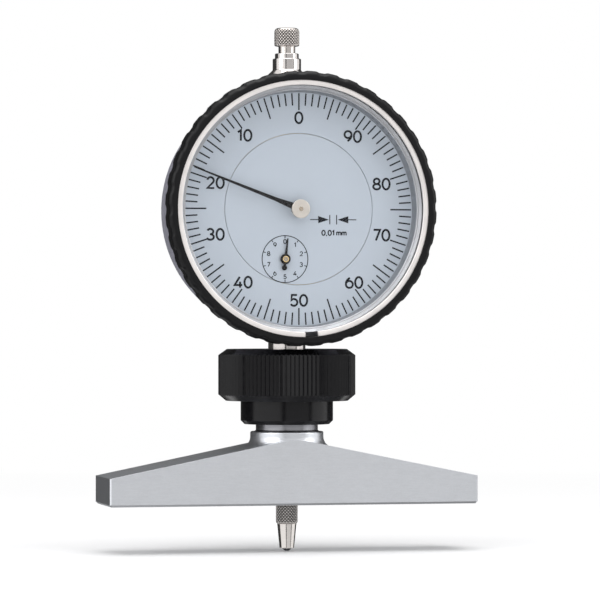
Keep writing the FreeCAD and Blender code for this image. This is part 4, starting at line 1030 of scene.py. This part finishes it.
@dataclass
class DialFace:
    """The silvered scale ring and inner disc with all that is printed on them."""

    ink: float = 0.02
    bite: float = 0.01
    divisions: int = 100
    scale_radius: float = 24.5
    tick: float = 2.6
    tick_five: float = 4.55
    tick_ten: float = 3.6
    tick_width: float = 0.3
    number_height: float = 2.72
    number_pen: float = 0.44
    number_radius: tuple[float, ...] = (19.3, 19.4, 18.8, 18.8, 19.6, 19.3, 19.6, 18.8, 18.8, 19.4)
    number_angle: tuple[float, ...] = (0.0, 37.2, 73.2, 106.8, 142.2, 180.0, 217.8, 253.2, 286.8, 322.8)
    counter_divisions: int = 10
    counter_radius: float = 4.95
    counter_tick: float = 0.55
    counter_number_radius: float = 3.72
    counter_number_height: float = 1.04
    counter_pen: float = 0.18
    circle_points: int = 96
    mark_drop: float = 2.2
    mark_pen: float = 0.2
    mark_half: float = 1.0
    mark_lines: tuple[float, float] = (6.72, 8.2)
    arrow_tips: tuple[float, float] = (6.55, 8.4)
    arrow_starts: tuple[float, float] = (2.45, 10.7)
    arrow_ends: tuple[float, float] = (4.3, 12.5)
    arrow_length: float = 2.35
    arrow_half: float = 0.76
    worth_height: float = 1.28
    worth_pen: float = 0.26
    worth_place: float = 7.65
    worth_drop: float = 5.0

    def __post_init__(self) -> None:
        """Reads the dial's centre and face, and the small hand's place, from the frame."""
        self.centre = dial_centre()
        face = depths("scale_ring")[0]
        self.front, self.back = face - self.ink, face + self.bite
        self.counter = np.array(dial_place("counter_bush"))

    def spokes(self, sheet: Print, centre: np.ndarray, outer: float, length: np.ndarray, count: int,
               width: float) -> None:
        """Lays evenly spaced bars that point at a centre.

        Args:
            sheet: the print that takes them.
            centre: x and z of the centre.
            outer: radius of their outer ends.
            length: length of each bar.
            count: number of bars.
            width: their width.
        """
        degrees = np.arange(count) * 360 / count
        start = np.stack(round_dial(centre, outer, degrees), axis=1)
        end = np.stack(round_dial(centre, outer - length, degrees), axis=1)
        sheet.bars(start, end, width)

    def scale(self, lettering: Lettering) -> bpy.types.Object:
        """Prints the hundred divisions and their numbers, which grow counter-clockwise."""
        sheet = Print(self.front, self.back)
        number = np.arange(self.divisions)
        length = np.where(number % 5 == 0, self.tick_five, self.tick)
        length = np.where(number % 10 == 0, self.tick_ten, length)
        self.spokes(sheet, self.centre, self.scale_radius, length, self.divisions, self.tick_width)
        for tens, (radius, degrees) in enumerate(zip(self.number_radius, self.number_angle)):
            x, z = round_dial(self.centre, radius, degrees)
            sheet.text(lettering, str(10 * tens), self.number_height, self.number_pen, float(x), float(z))
        return sheet.made("scale_print")

    def inner(self, lettering: Lettering) -> bpy.types.Object:
        """Prints the small circle with its ten divisions, and the mark of what one division is worth."""
        sheet = Print(self.front, self.back)
        turn = np.linspace(0, 360, self.circle_points, endpoint=False)
        circle = np.stack(round_dial(self.counter, self.counter_radius, turn), axis=1)
        sheet.ribbon(circle, self.counter_pen, True)
        length = np.full(self.counter_divisions, self.counter_tick)
        self.spokes(sheet, self.counter, self.counter_radius, length, self.counter_divisions,
                    self.counter_pen)
        for number in range(self.counter_divisions):
            degrees = -360.0 / self.counter_divisions * number
            x, z = round_dial(self.counter, self.counter_number_radius, degrees)
            sheet.text(lettering, str(number), self.counter_number_height, self.counter_pen,
                       float(x), float(z))
        up = self.centre[1] - self.mark_drop
        lines = np.array(self.mark_lines)
        sheet.bars(np.column_stack([lines, np.full(2, up + self.mark_half)]),
                   np.column_stack([lines, np.full(2, up - self.mark_half)]), self.mark_pen)
        for tip, length in zip(self.arrow_tips, (self.arrow_length, -self.arrow_length)):
            sheet.wedge((tip, up), length, self.arrow_half)
        level = np.full(2, up)
        sheet.bars(np.column_stack([self.arrow_starts, level]), np.column_stack([self.arrow_ends, level]),
                   self.mark_pen)
        sheet.text(lettering, "0,01 mm", self.worth_height, self.worth_pen, self.worth_place,
                   self.centre[1] - self.worth_drop)
        return sheet.made("face_print")

    def build(self, nodes: dict[str, bpy.types.Object]) -> None:
        """Prints both sheets and dresses the silvered faces."""
        lettering, ink = Lettering(), Ink("dial_ink", (0.010, 0.011, 0.014)).material()
        lay(self.scale(lettering), Body.BEZEL, ink)
        lay(self.inner(lettering), Body.GAUGE, ink)
        dress(nodes, ["scale_ring", "dial_disc"], SilverDial("dial_silver", (0.505, 0.555, 0.612)).material())


@dataclass
class Hands:
    """The long hand with its hub, and the small hand with its bush."""

    def build(self, nodes: dict[str, bpy.types.Object]) -> None:
        """Dresses the hands in black lacquer, the hub in nickel and the bush in brass."""
        hub, bush = dial_place("hand_hub"), dial_place("counter_bush")
        black = Moulded("hand_black", (0.008, 0.008, 0.009), 0.4, 4.0, 0.002, 0.15, 0.05, 0.15)
        dress(nodes, ["main_hand", "counter_hand"], black.material())
        nickel = TurnedMetal("hub_nickel", (0.62, 0.575, 0.52), 0.34, Axis.DIAL, hub, 7.0, 0.003, 0.07, 0.12)
        dress(nodes, ["hand_hub"], nickel.material())
        brass = TurnedMetal("bush_brass", (0.74, 0.55, 0.27), 0.25, Axis.DIAL, bush, 8.0, 0.002, 0.08, 0.08)
        dress(nodes, ["counter_bush"], brass.material())


@dataclass
class PlungerEnds:
    """The knurled lifting knob and contact point, the plunger between them, its spring and the ball."""

    knob_diamonds: int = 24
    contact_diamonds: int = 21
    steps: int = 12
    knurl_depth: float = 0.17
    flat: float = 0.8
    knob_radius: float = 2.7
    knob_neck_radius: float = 1.8
    knob_neck_height: float = 1.6
    knob_stud_radius: float = 1.0
    contact_radius: float = 2.375
    contact_knurl_length: float = 4.35
    contact_stud_radius: float = 1.25
    cone_top: float = 2.05
    cone_tip: float = 1.55
    spring_wire: float = 0.36
    spring_turns: int = 7
    spring_columns: int = 40
    spring_sides: int = 12
    spring_closing: float = 0.06
    spring_tip: float = 60.0
    travel: float = 10.5
    knurl_end: float = 0.25
    knurl_end_share: float = 0.35
    knurl_inset: float = 0.7
    knurl_fade: float = 0.5
    core_inset: float = 0.9
    core_foot: float = 0.4
    core_head: float = 0.9
    core_rows: int = 5
    stud_edge: float = 0.1
    neck_edge: float = 0.05
    shoulder_round: float = 0.35
    knob_top_round: float = 0.85
    knurl_foot_round: float = 0.4
    cone_step: float = 0.25
    cone_tip_round: float = 0.2
    knurl_foot_margin: float = 0.15
    knob_head_margin: float = 0.35
    contact_head_margin: float = 0.1

    def __post_init__(self) -> None:
        """Reads the ends' heights from the frame."""
        self.knob_low, self.knob_high = heights("lifting_knob")
        self.contact_low, self.contact_high = heights("contact_point")
        self.plunger_low, self.plunger_high = heights("plunger")
        self.spring_low, self.spring_high = heights("return_spring")
        self.guide_top = heights("upper_guide")[1]

    def diamonds(self, round_share: np.ndarray, height_share: np.ndarray) -> np.ndarray:
        """Gives the height of a diamond knurl from 0 in its grooves to 1 on its diamonds.

        Two sets of grooves climb in opposite senses. A point's distance from the middle of the nearer
        groove of each set, in half pitches, is cut off at the diamonds' flats, and the lower one counts.

        Args:
            round_share: way round the piece in diamonds.
            height_share: height in diamonds.

        Returns:
            Values from 0 to 1.
        """
        rising = 1 - np.abs(2 * ((round_share + height_share) % 1) - 1)
        falling = 1 - np.abs(2 * ((round_share - height_share) % 1) - 1)
        return np.clip(np.minimum(rising, falling) / self.flat, 0, 1)

    def knurled(self, name: str, corners: Sequence[Sequence[float]], count: int, low: float, high: float,
                radius: float) -> bpy.types.Object:
        """Turns a section and cuts a diamond knurl into one of its walls.

        The cut's depth fades in from the ends of the knurled length and where the section comes in
        towards the axis. Away from the knurl only some of the section's rows are kept. Each point then
        keeps its height on the knurl, which the finish uses to paint shade into the grooves.

        Args:
            name: name of the piece.
            corners: corners of the section from the axis round to the axis, with their rounding.
            count: diamonds round the piece.
            low: lower end of the knurl.
            high: upper end of the knurl.
            radius: radius of the knurled wall.

        Returns:
            The piece.
        """
        pitch = FULL_TURN * radius / count
        outline = rounded(corners, closed=False)
        section = filled_in(outline, pitch / self.steps)
        inside = ((section[:, 0] < radius - self.core_inset) | (section[:, 1] < low - self.core_foot)
                  | (section[:, 1] > high + self.core_head))
        coarse = inside & (np.arange(len(section)) % self.core_rows != 0)
        corner = np.isin(np.round(section, 4), np.round(outline, 4)).all(1)
        section = section[~coarse | corner]
        angle = np.linspace(0, FULL_TURN, count * self.steps, endpoint=False)
        depth = self.knurl_depth * self.reach(section[:, :1], section[:, 1:], low, high, radius)
        relief = self.diamonds((angle / FULL_TURN * count)[None], section[:, 1:] / pitch)
        cut = section[:, :1] - depth * (1 - relief)
        points = turned(np.maximum(cut, 0.0), section[:, 1], angle, Axis.UPRIGHT, np.zeros(2))
        made = piece(name, points, [cells(len(section), len(angle), False, True)], 50.0)
        place = places_of(made)
        turn = np.arctan2(place[:, 1], place[:, 0]) / FULL_TURN * count
        out = np.hypot(place[:, 0], place[:, 1]) + self.knurl_depth
        share = self.reach(out, place[:, 2], low, high, radius)
        # Height on the knurl per point, which the finish uses to paint shade into the grooves.
        mark(made, "crest", 1 - share * (1 - self.diamonds(turn, place[:, 2] / pitch)))
        return made

    def reach(self, out: np.ndarray, height: np.ndarray, low: float, high: float,
              radius: float) -> np.ndarray:
        """Gives how much of the knurl's depth counts at a point.

        It is the distance from the nearer end over the end's length, plus a share that is there at
        once, times the distance from where the wall begins over the fade, each held from 0 to 1.

        Args:
            out: distance from the axis.
            height: height of the point.
            low: lower end of the knurl.
            high: upper end of the knurl.
            radius: radius of the knurled wall.

        Returns:
            Values from 0 to 1.
        """
        ends = np.clip(np.minimum(height - low, high - height) / self.knurl_end + self.knurl_end_share, 0, 1)
        return ends * np.clip((out - (radius - self.knurl_inset)) / self.knurl_fade, 0, 1)

    def knob(self) -> bpy.types.Object:
        """Turns the lifting knob with its neck and stud."""
        foot = self.guide_top + self.knob_neck_height
        neck, stud = self.knob_neck_radius, self.knob_stud_radius
        corners = [(0, self.knob_low), (stud, self.knob_low, self.stud_edge), (stud, self.plunger_high),
                   (neck, self.plunger_high, self.neck_edge), (neck, foot, self.stud_edge),
                   (self.knob_radius, foot, self.shoulder_round),
                   (self.knob_radius, self.knob_high, self.knob_top_round), (0, self.knob_high)]
        return self.knurled("lifting_knob_knurled", corners, self.knob_diamonds,
                            foot + self.knurl_foot_margin, self.knob_high - self.knob_head_margin,
                            self.knob_radius)

    def contact(self) -> bpy.types.Object:
        """Turns the contact point with its stud, knurl and cone."""
        top, knurl_foot = self.plunger_low, self.plunger_low - self.contact_knurl_length
        stud = self.contact_stud_radius
        corners = [(0, self.contact_high), (stud, self.contact_high, self.stud_edge), (stud, top),
                   (self.contact_radius, top, self.shoulder_round),
                   (self.contact_radius, knurl_foot, self.knurl_foot_round),
                   (self.cone_top, knurl_foot, self.stud_edge),
                   (self.cone_top, knurl_foot - self.cone_step, self.stud_edge),
                   (self.cone_tip, self.contact_low, self.cone_tip_round), (0, self.contact_low)]
        return self.knurled("contact_point_knurled", corners, self.contact_diamonds,
                            knurl_foot + self.knurl_foot_margin, top - self.contact_head_margin,
                            self.contact_radius)

    def spring(self) -> bpy.types.Object:
        """Carries a round wire along a screw line between the collar and the upper guide.

        The line's angle grows evenly. Its height is the share gone less a little of the sine of a full
        turn of that share, so that the end coils lie closer. The wire's circle stands across the line's
        radius and the axis, and shrinks to a point at both ends by a square root.

        Returns:
            The return spring.
        """
        wire = self.spring_wire / 2
        middle = span("return_spring")[1][0] - wire
        share = np.linspace(0, 1, self.spring_turns * self.spring_columns)
        angle = FULL_TURN * self.spring_turns * share
        ease = share - self.spring_closing * np.sin(FULL_TURN * share)
        height = self.spring_low + wire + (self.spring_high - self.spring_low - 2 * wire) * ease
        size = np.minimum(1.0, np.sqrt(np.minimum(share, 1 - share) * self.spring_tip))[:, None]
        around = np.linspace(0, FULL_TURN, self.spring_sides, endpoint=False)[None]
        radius = middle + wire * size * np.cos(around)
        rise = height[:, None] + wire * size * np.sin(around)
        points = np.stack([radius * np.cos(angle)[:, None], radius * np.sin(angle)[:, None], rise], axis=-1)
        grid = cells(len(angle), self.spring_sides, False, True)
        return piece("return_spring_wound", points.reshape(-1, 3), [grid], 60.0)

    def build(self, nodes: dict[str, bpy.types.Object]) -> None:
        """Makes both ends and the spring, and dresses the plunger, its pin and collar, and the ball."""
        # groove=0.12 paints shade into the knurled grooves of both ends.
        knob = TurnedMetal("knob_nickel", (0.74, 0.69, 0.655), 0.18, lines=6.0, depth=0.001, edge=0.02,
                           groove=0.12)
        lay(self.knob(), Body.PLUNGER, knob.material(), ["lifting_knob"])
        contact = TurnedMetal("contact_nickel", (0.78, 0.74, 0.71), 0.12, lines=7.0, depth=0.001, edge=0.02,
                              groove=0.12)
        lay(self.contact(), Body.PLUNGER, contact.material(), ["contact_point"])
        steel = TurnedMetal("plunger_steel", (0.60, 0.60, 0.62), 0.20, lines=8.0)
        dress(nodes, ["plunger", "guide_pin", "spring_collar"], steel.material())
        dress(nodes, ["contact_ball"], TurnedMetal("hard_ball", (0.10, 0.10, 0.11), 0.10, lines=9.0,
                                                   depth=0.0005).material())
        wire = TurnedMetal("return_spring_wire", (0.42, 0.42, 0.45), 0.30, lines=9.0, contrast=0.1)
        spring = self.spring()
        lay(spring, Body.PLUNGER, wire.material(), ["return_spring"])
        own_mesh(spring)


@dataclass
class MeasuringBridge:
    """The ground bridge and the collet that stands in its neck."""

    def build(self, nodes: dict[str, bpy.types.Object]) -> None:
        """Dresses the bridge in ground steel and the collet in turned steel."""
        steel = GroundMetal("ground_steel", (0.80, 0.82, 0.86), 0.34, (0.5, 3.6, 3.6), 0.0025, 0.05, 0.05)
        dress(nodes, ["base_bridge"], steel.material())
        dress(nodes, ["collet"], TurnedMetal("collet_steel", (0.36, 0.36, 0.385), 0.30, lines=2.4, depth=0.02,
                                             contrast=0.14).material())


@dataclass
class ClampNut:
    """The black clamp nut with its fine serrations."""

    def build(self, nodes: dict[str, bpy.types.Object]) -> None:
        """Dresses the nut in black anodised aluminium."""
        finish = BlackAnodised("black_anodised", (0.0042, 0.0040, 0.0052), (0.012, 0.012, 0.014), 0.20)
        dress(nodes, ["clamp_nut"], finish.material())


@dataclass
class IndicatorCase:
    """The case with its cover, stem, sleeve and guide."""

    def build(self, nodes: dict[str, bpy.types.Object]) -> None:
        """Dresses the case in grey lacquer, its screws in steel and its tubes in nickel."""
        grey = Moulded("case_grey", (0.265, 0.265, 0.315), 0.36, 3.0, 0.005, 0.05, 0.25, 0.5, 0.2)
        dress(nodes, ["case", "back_cover"], grey.material())
        dress(nodes, ["cover_screws"], GroundMetal("cover_screw_steel", (0.50, 0.50, 0.52), 0.3,
                                                   (3.0, 1.0, 0.4), 0.003, 0.12, 0.08).material())
        nickel = TurnedMetal("nickel_plate", (0.76, 0.72, 0.70), 0.13, lines=4.0, depth=0.0012, edge=0.1)
        dress(nodes, ["stem", "upper_guide", "top_sleeve"], nickel.material())
        bronze = TurnedMetal("bush_bronze", (0.62, 0.44, 0.24), 0.3, lines=6.0)
        dress(nodes, ["stem_bushes"], bronze.material())


@dataclass
class Movement:
    """The rack-and-wheel movement inside the case."""

    plates: tuple[str, ...] = ("dial_plate", "centre_bridge", "rear_bridge")
    pillars: tuple[str, ...] = ("short_pillars", "long_pillars", "hairspring_stud")
    wheels: tuple[str, ...] = ("counter_wheel", "hairspring_wheel")
    arbors: tuple[str, ...] = ("centre_arbor", "counter_arbor", "hairspring_arbor")
    screws: tuple[str, ...] = ("plate_screws", "bridge_screws")

    def build(self, nodes: dict[str, bpy.types.Object]) -> None:
        """Dresses the plates in brushed brass, the pillars and wheels in bright brass, the rest in steel."""
        brass = GroundMetal("plate_brass", (0.70, 0.54, 0.27), 0.3, (0.2, 4.0, 4.0), 0.004, 0.08, 0.08)
        dress(nodes, self.plates, brass.material())
        bright = GroundMetal("gear_brass", (0.78, 0.60, 0.29), 0.2, (4.0, 0.5, 4.0), 0.002, 0.06, 0.04)
        dress(nodes, (*self.pillars, *self.wheels), bright.material())
        dress(nodes, self.arbors, TurnedMetal("arbor_steel", (0.42, 0.36, 0.28), 0.24, Axis.DIAL).material())
        dress(nodes, self.screws, GroundMetal("screw_steel", (0.50, 0.50, 0.53), 0.25, (3.0, 1.0, 0.5), 0.003,
                                              0.1, 0.05).material())
        blued = GroundMetal("hairspring_steel", (0.25, 0.29, 0.42), 0.25, (3.0, 9.0, 3.0), 0.001, 0.1, 0.01)
        dress(nodes, ["hairspring"], blued.material())


# ---------------------------------------------------------------------------------------------------
# Studio
# ---------------------------------------------------------------------------------------------------


@dataclass(frozen=True)
class Card:
    """A curved card that only polished surfaces see.

    Angles are in degrees: to the right of the line to the camera, and up from level.
    """

    name: str
    left: float
    right: float
    low: float
    high: float
    level: float
    fade: float = 4.0
    fade_up: float = 8.0


@dataclass(frozen=True)
class Lamp:
    """A soft square lamp that looks at the gauge.

    Angles are in degrees: to the right of the line to the camera, and up.
    """

    name: str
    bearing: float
    rise: float
    distance: float
    size: float
    watts: float


@dataclass
class Studio:
    """Floor, white surroundings, soft lamps, cards and camera."""

    eye: tuple[float, float, float] = (-171.4, -754.0, 39.5)
    aim: tuple[float, float, float] = (2.9, 0.0, 43.6)
    focal: float = 216.4
    sensor: float = 36.0
    clip: tuple[float, float] = (0.05, 50.0)
    card_distance: float = 620.0
    card_columns: int = 97
    card_rows: int = 25
    world_level: float = 0.50
    floor_colour: Colour = (0.98, 0.98, 0.985)
    floor_near: float = 120.0
    floor_far: float = 420.0
    floor_half: float = 6000.0
    cards: tuple[Card, ...] = (
        Card("card_by_camera", -14, 0, -28, 28, 0.03),
        Card("card_grey_right", -1, 56, -24, 20, 0.58, 3.0),
        Card("card_gap_right", 54, 67, -28, 28, 0.03),
        Card("card_rear", 117, 271, -30, 52, 0.05),
        Card("card_below", -179.9, 179.9, -88, -34, 0.25, 0.01),
    )
    lamps: tuple[Lamp, ...] = (
        Lamp("lamp_left", -50.0, 25.0, 1100.0, 700.0, 2.8),
        Lamp("lamp_right", 70.0, 20.0, 1100.0, 600.0, 2.2),
        Lamp("lamp_top", 10.0, 78.0, 1000.0, 900.0, 6.6),
    )

    def __post_init__(self) -> None:
        """Reads the height of the floor from the frame and the camera's bearing from its place."""
        self.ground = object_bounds()[0][2] * PER_METRE
        self.bearing = math.atan2(self.aim[0] - self.eye[0], self.aim[1] - self.eye[1])

    def toward(self, degrees: float | np.ndarray) -> tuple[Any, Any]:
        """Gives the direction in plan that lies so many degrees to the right of the camera's."""
        turn = np.radians(degrees) - self.bearing
        return np.sin(turn), -np.cos(turn)

    def camera(self) -> None:
        """Sets the camera at its place, turned to what it looks at."""
        data = bpy.data.cameras.new("camera")
        data.lens, data.sensor_width = self.focal, self.sensor
        data.clip_start, data.clip_end = self.clip
        camera = bpy.data.objects.new("camera", data)
        bpy.context.scene.collection.objects.link(camera)
        camera.location = Vector(self.eye) * MM
        camera.rotation_euler = (Vector(self.aim) - Vector(self.eye)).to_track_quat("-Z", "Y").to_euler()
        bpy.context.scene.camera = camera

    def world(self) -> None:
        """Makes the surroundings white to the eye, to gloss and to glass, and plain to the rest."""
        world = bpy.data.worlds.new("studio_world")
        world.use_nodes = True
        nodes, links = world.node_tree.nodes, world.node_tree.links
        nodes.clear()
        output = nodes.new("ShaderNodeOutputWorld")
        mix = nodes.new("ShaderNodeMixShader")
        rays = nodes.new("ShaderNodeLightPath")
        seen = nodes.new("ShaderNodeMath")
        seen.operation = "MAXIMUM"
        links.new(rays.outputs["Is Camera Ray"], seen.inputs[0])
        links.new(rays.outputs["Is Glossy Ray"], seen.inputs[1])
        through = nodes.new("ShaderNodeMath")
        through.operation = "MAXIMUM"
        links.new(seen.outputs[0], through.inputs[0])
        links.new(rays.outputs["Is Transmission Ray"], through.inputs[1])
        plain, white = nodes.new("ShaderNodeBackground"), nodes.new("ShaderNodeBackground")
        plain.inputs["Strength"].default_value = self.world_level
        white.inputs["Strength"].default_value = 1.0
        plain.inputs["Color"].default_value = white.inputs["Color"].default_value = (1, 1, 1, 1)
        links.new(through.outputs[0], mix.inputs[0])
        links.new(plain.outputs[0], mix.inputs[1])
        links.new(white.outputs[0], mix.inputs[2])
        links.new(mix.outputs[0], output.inputs["Surface"])
        bpy.context.scene.world = world

    def floor(self) -> None:
        """Lays a wide pale floor under the ball of the contact point."""
        points = np.array([(-1, -1), (1, -1), (1, 1), (-1, 1)]) * self.floor_half
        points = np.column_stack([points, np.full(4, self.ground)])
        floor = piece("floor", points, [np.array([[0, 1, 2, 3]])])
        tree = Tree("floor_pale")
        dust = tree.noise(tree.place(), 0.02, 4.0, 0.6)
        tree.settle(Base_Color=tree.tones(dust, self.floor_colour, 0.003), Roughness=0.9,
                    Specular_IOR_Level=0.0)
        flat = tree.place((1.0, 1.0, 0.0))
        reach = tree.add("ShaderNodeVectorMath", {0: flat}, operation="LENGTH").outputs["Value"]
        rays = tree.add("ShaderNodeLightPath").outputs
        seen = tree.math("MAXIMUM", tree.math("MAXIMUM", rays["Is Camera Ray"], rays["Is Glossy Ray"]),
                         rays["Is Transmission Ray"])
        far = tree.math("MULTIPLY", seen, tree.spread(reach, self.floor_near, self.floor_far, 0.0, 1.0))
        white = tree.add("ShaderNodeEmission", {"Strength": 1.0})
        mixed = tree.add("ShaderNodeMixShader", {0: far, 1: tree.shader.outputs[0], 2: white.outputs[0]})
        tree.links.new(mixed.outputs[0], tree.output.inputs["Surface"])
        floor.data.materials.append(tree.material)
        floor.visible_glossy = False
        floor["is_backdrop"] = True

    def card(self, made: Card) -> None:
        """Stands one card on a sphere round the object, its edges faded by a value on its points.

        The value is the lesser of the distances from its sides and from its top and foot, each over
        its fade, smoothed by three t squared less two t cubed.

        Args:
            made: the card's place, brightness and fades.
        """
        across = np.linspace(made.left, made.right, self.card_columns)
        up = np.linspace(made.low, made.high, self.card_rows)
        rise = np.radians(up)[:, None]
        x, y = self.toward(across)
        reach = self.card_distance * np.cos(rise)
        height = np.broadcast_to(self.aim[2] + self.card_distance * np.sin(rise), (len(up), len(across)))
        points = np.stack([reach * x, reach * y, height], axis=-1).reshape(-1, 3)
        card = piece(made.name, points, [cells(len(up), len(across))])
        place = places_of(card) - (0.0, 0.0, self.aim[2])
        turn = np.degrees(np.arctan2(place[:, 0], -place[:, 1]) + self.bearing)
        turn = (turn - (made.left + made.right) / 2 + 180) % 360 - 180
        lift = np.degrees(np.arcsin(np.clip(place[:, 2] / self.card_distance, -1, 1)))
        side = (made.right - made.left) / 2 - np.abs(turn)
        end = np.minimum(lift - made.low, made.high - lift)
        share = np.clip(np.minimum(side / made.fade, end / made.fade_up), 0, 1)
        mark(card, "cover", share * share * (3 - 2 * share))
        tree = Tree(made.name)
        tree.nodes.remove(tree.shader)
        glow = tree.add("ShaderNodeEmission", {"Strength": made.level})
        clear = tree.add("ShaderNodeBsdfTransparent")
        amount = tree.add("ShaderNodeAttribute", attribute_name="cover").outputs["Fac"]
        mixed = tree.add("ShaderNodeMixShader", {0: amount, 1: clear.outputs[0], 2: glow.outputs[0]})
        tree.links.new(mixed.outputs[0], tree.output.inputs["Surface"])
        card.data.materials.append(tree.material)
        for sees in ("camera", "diffuse", "transmission", "volume_scatter", "shadow"):
            setattr(card, f"visible_{sees}", False)
        card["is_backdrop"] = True

    def lamp(self, made: Lamp) -> None:
        """Hangs one lamp, turned to the middle of the gauge."""
        data = bpy.data.lights.new(made.name, "AREA")
        data.shape, data.size, data.energy = "SQUARE", made.size * MM, made.watts
        lamp = bpy.data.objects.new(made.name, data)
        bpy.context.scene.collection.objects.link(lamp)
        x, y = self.toward(made.bearing)
        rise = math.radians(made.rise)
        aim = Vector(self.aim)
        place = aim + made.distance * Vector((x * math.cos(rise), y * math.cos(rise), math.sin(rise)))
        lamp.location = place * MM
        lamp.rotation_euler = (aim - place).to_track_quat("-Z", "Y").to_euler()

    def build(self) -> None:
        """Sets everything up."""
        self.camera()
        self.world()
        self.floor()
        for made in self.cards:
            self.card(made)
        for made in self.lamps:
            self.lamp(made)
        bpy.context.scene.view_settings.view_transform = "Standard"
        log.info("studio: %d cards, %d lamps, floor at %.2f mm", len(self.cards), len(self.lamps),
                 self.ground)


def main() -> None:
    """Loads the frame, builds each sub-assembly in order and the studio."""
    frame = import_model()
    logging.basicConfig(level=logging.INFO, format="%(name)s %(message)s")
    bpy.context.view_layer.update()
    nodes = frame["nodes"]
    for part in (MeasuringBridge(), ClampNut(), IndicatorCase(), TurningBezel(), DialFace(), Hands(),
                 PlungerEnds(), Movement()):
        part.build(nodes)
        log.info("%s done", type(part).__name__)
    Studio().build()


if __name__ == "__main__":
    main()
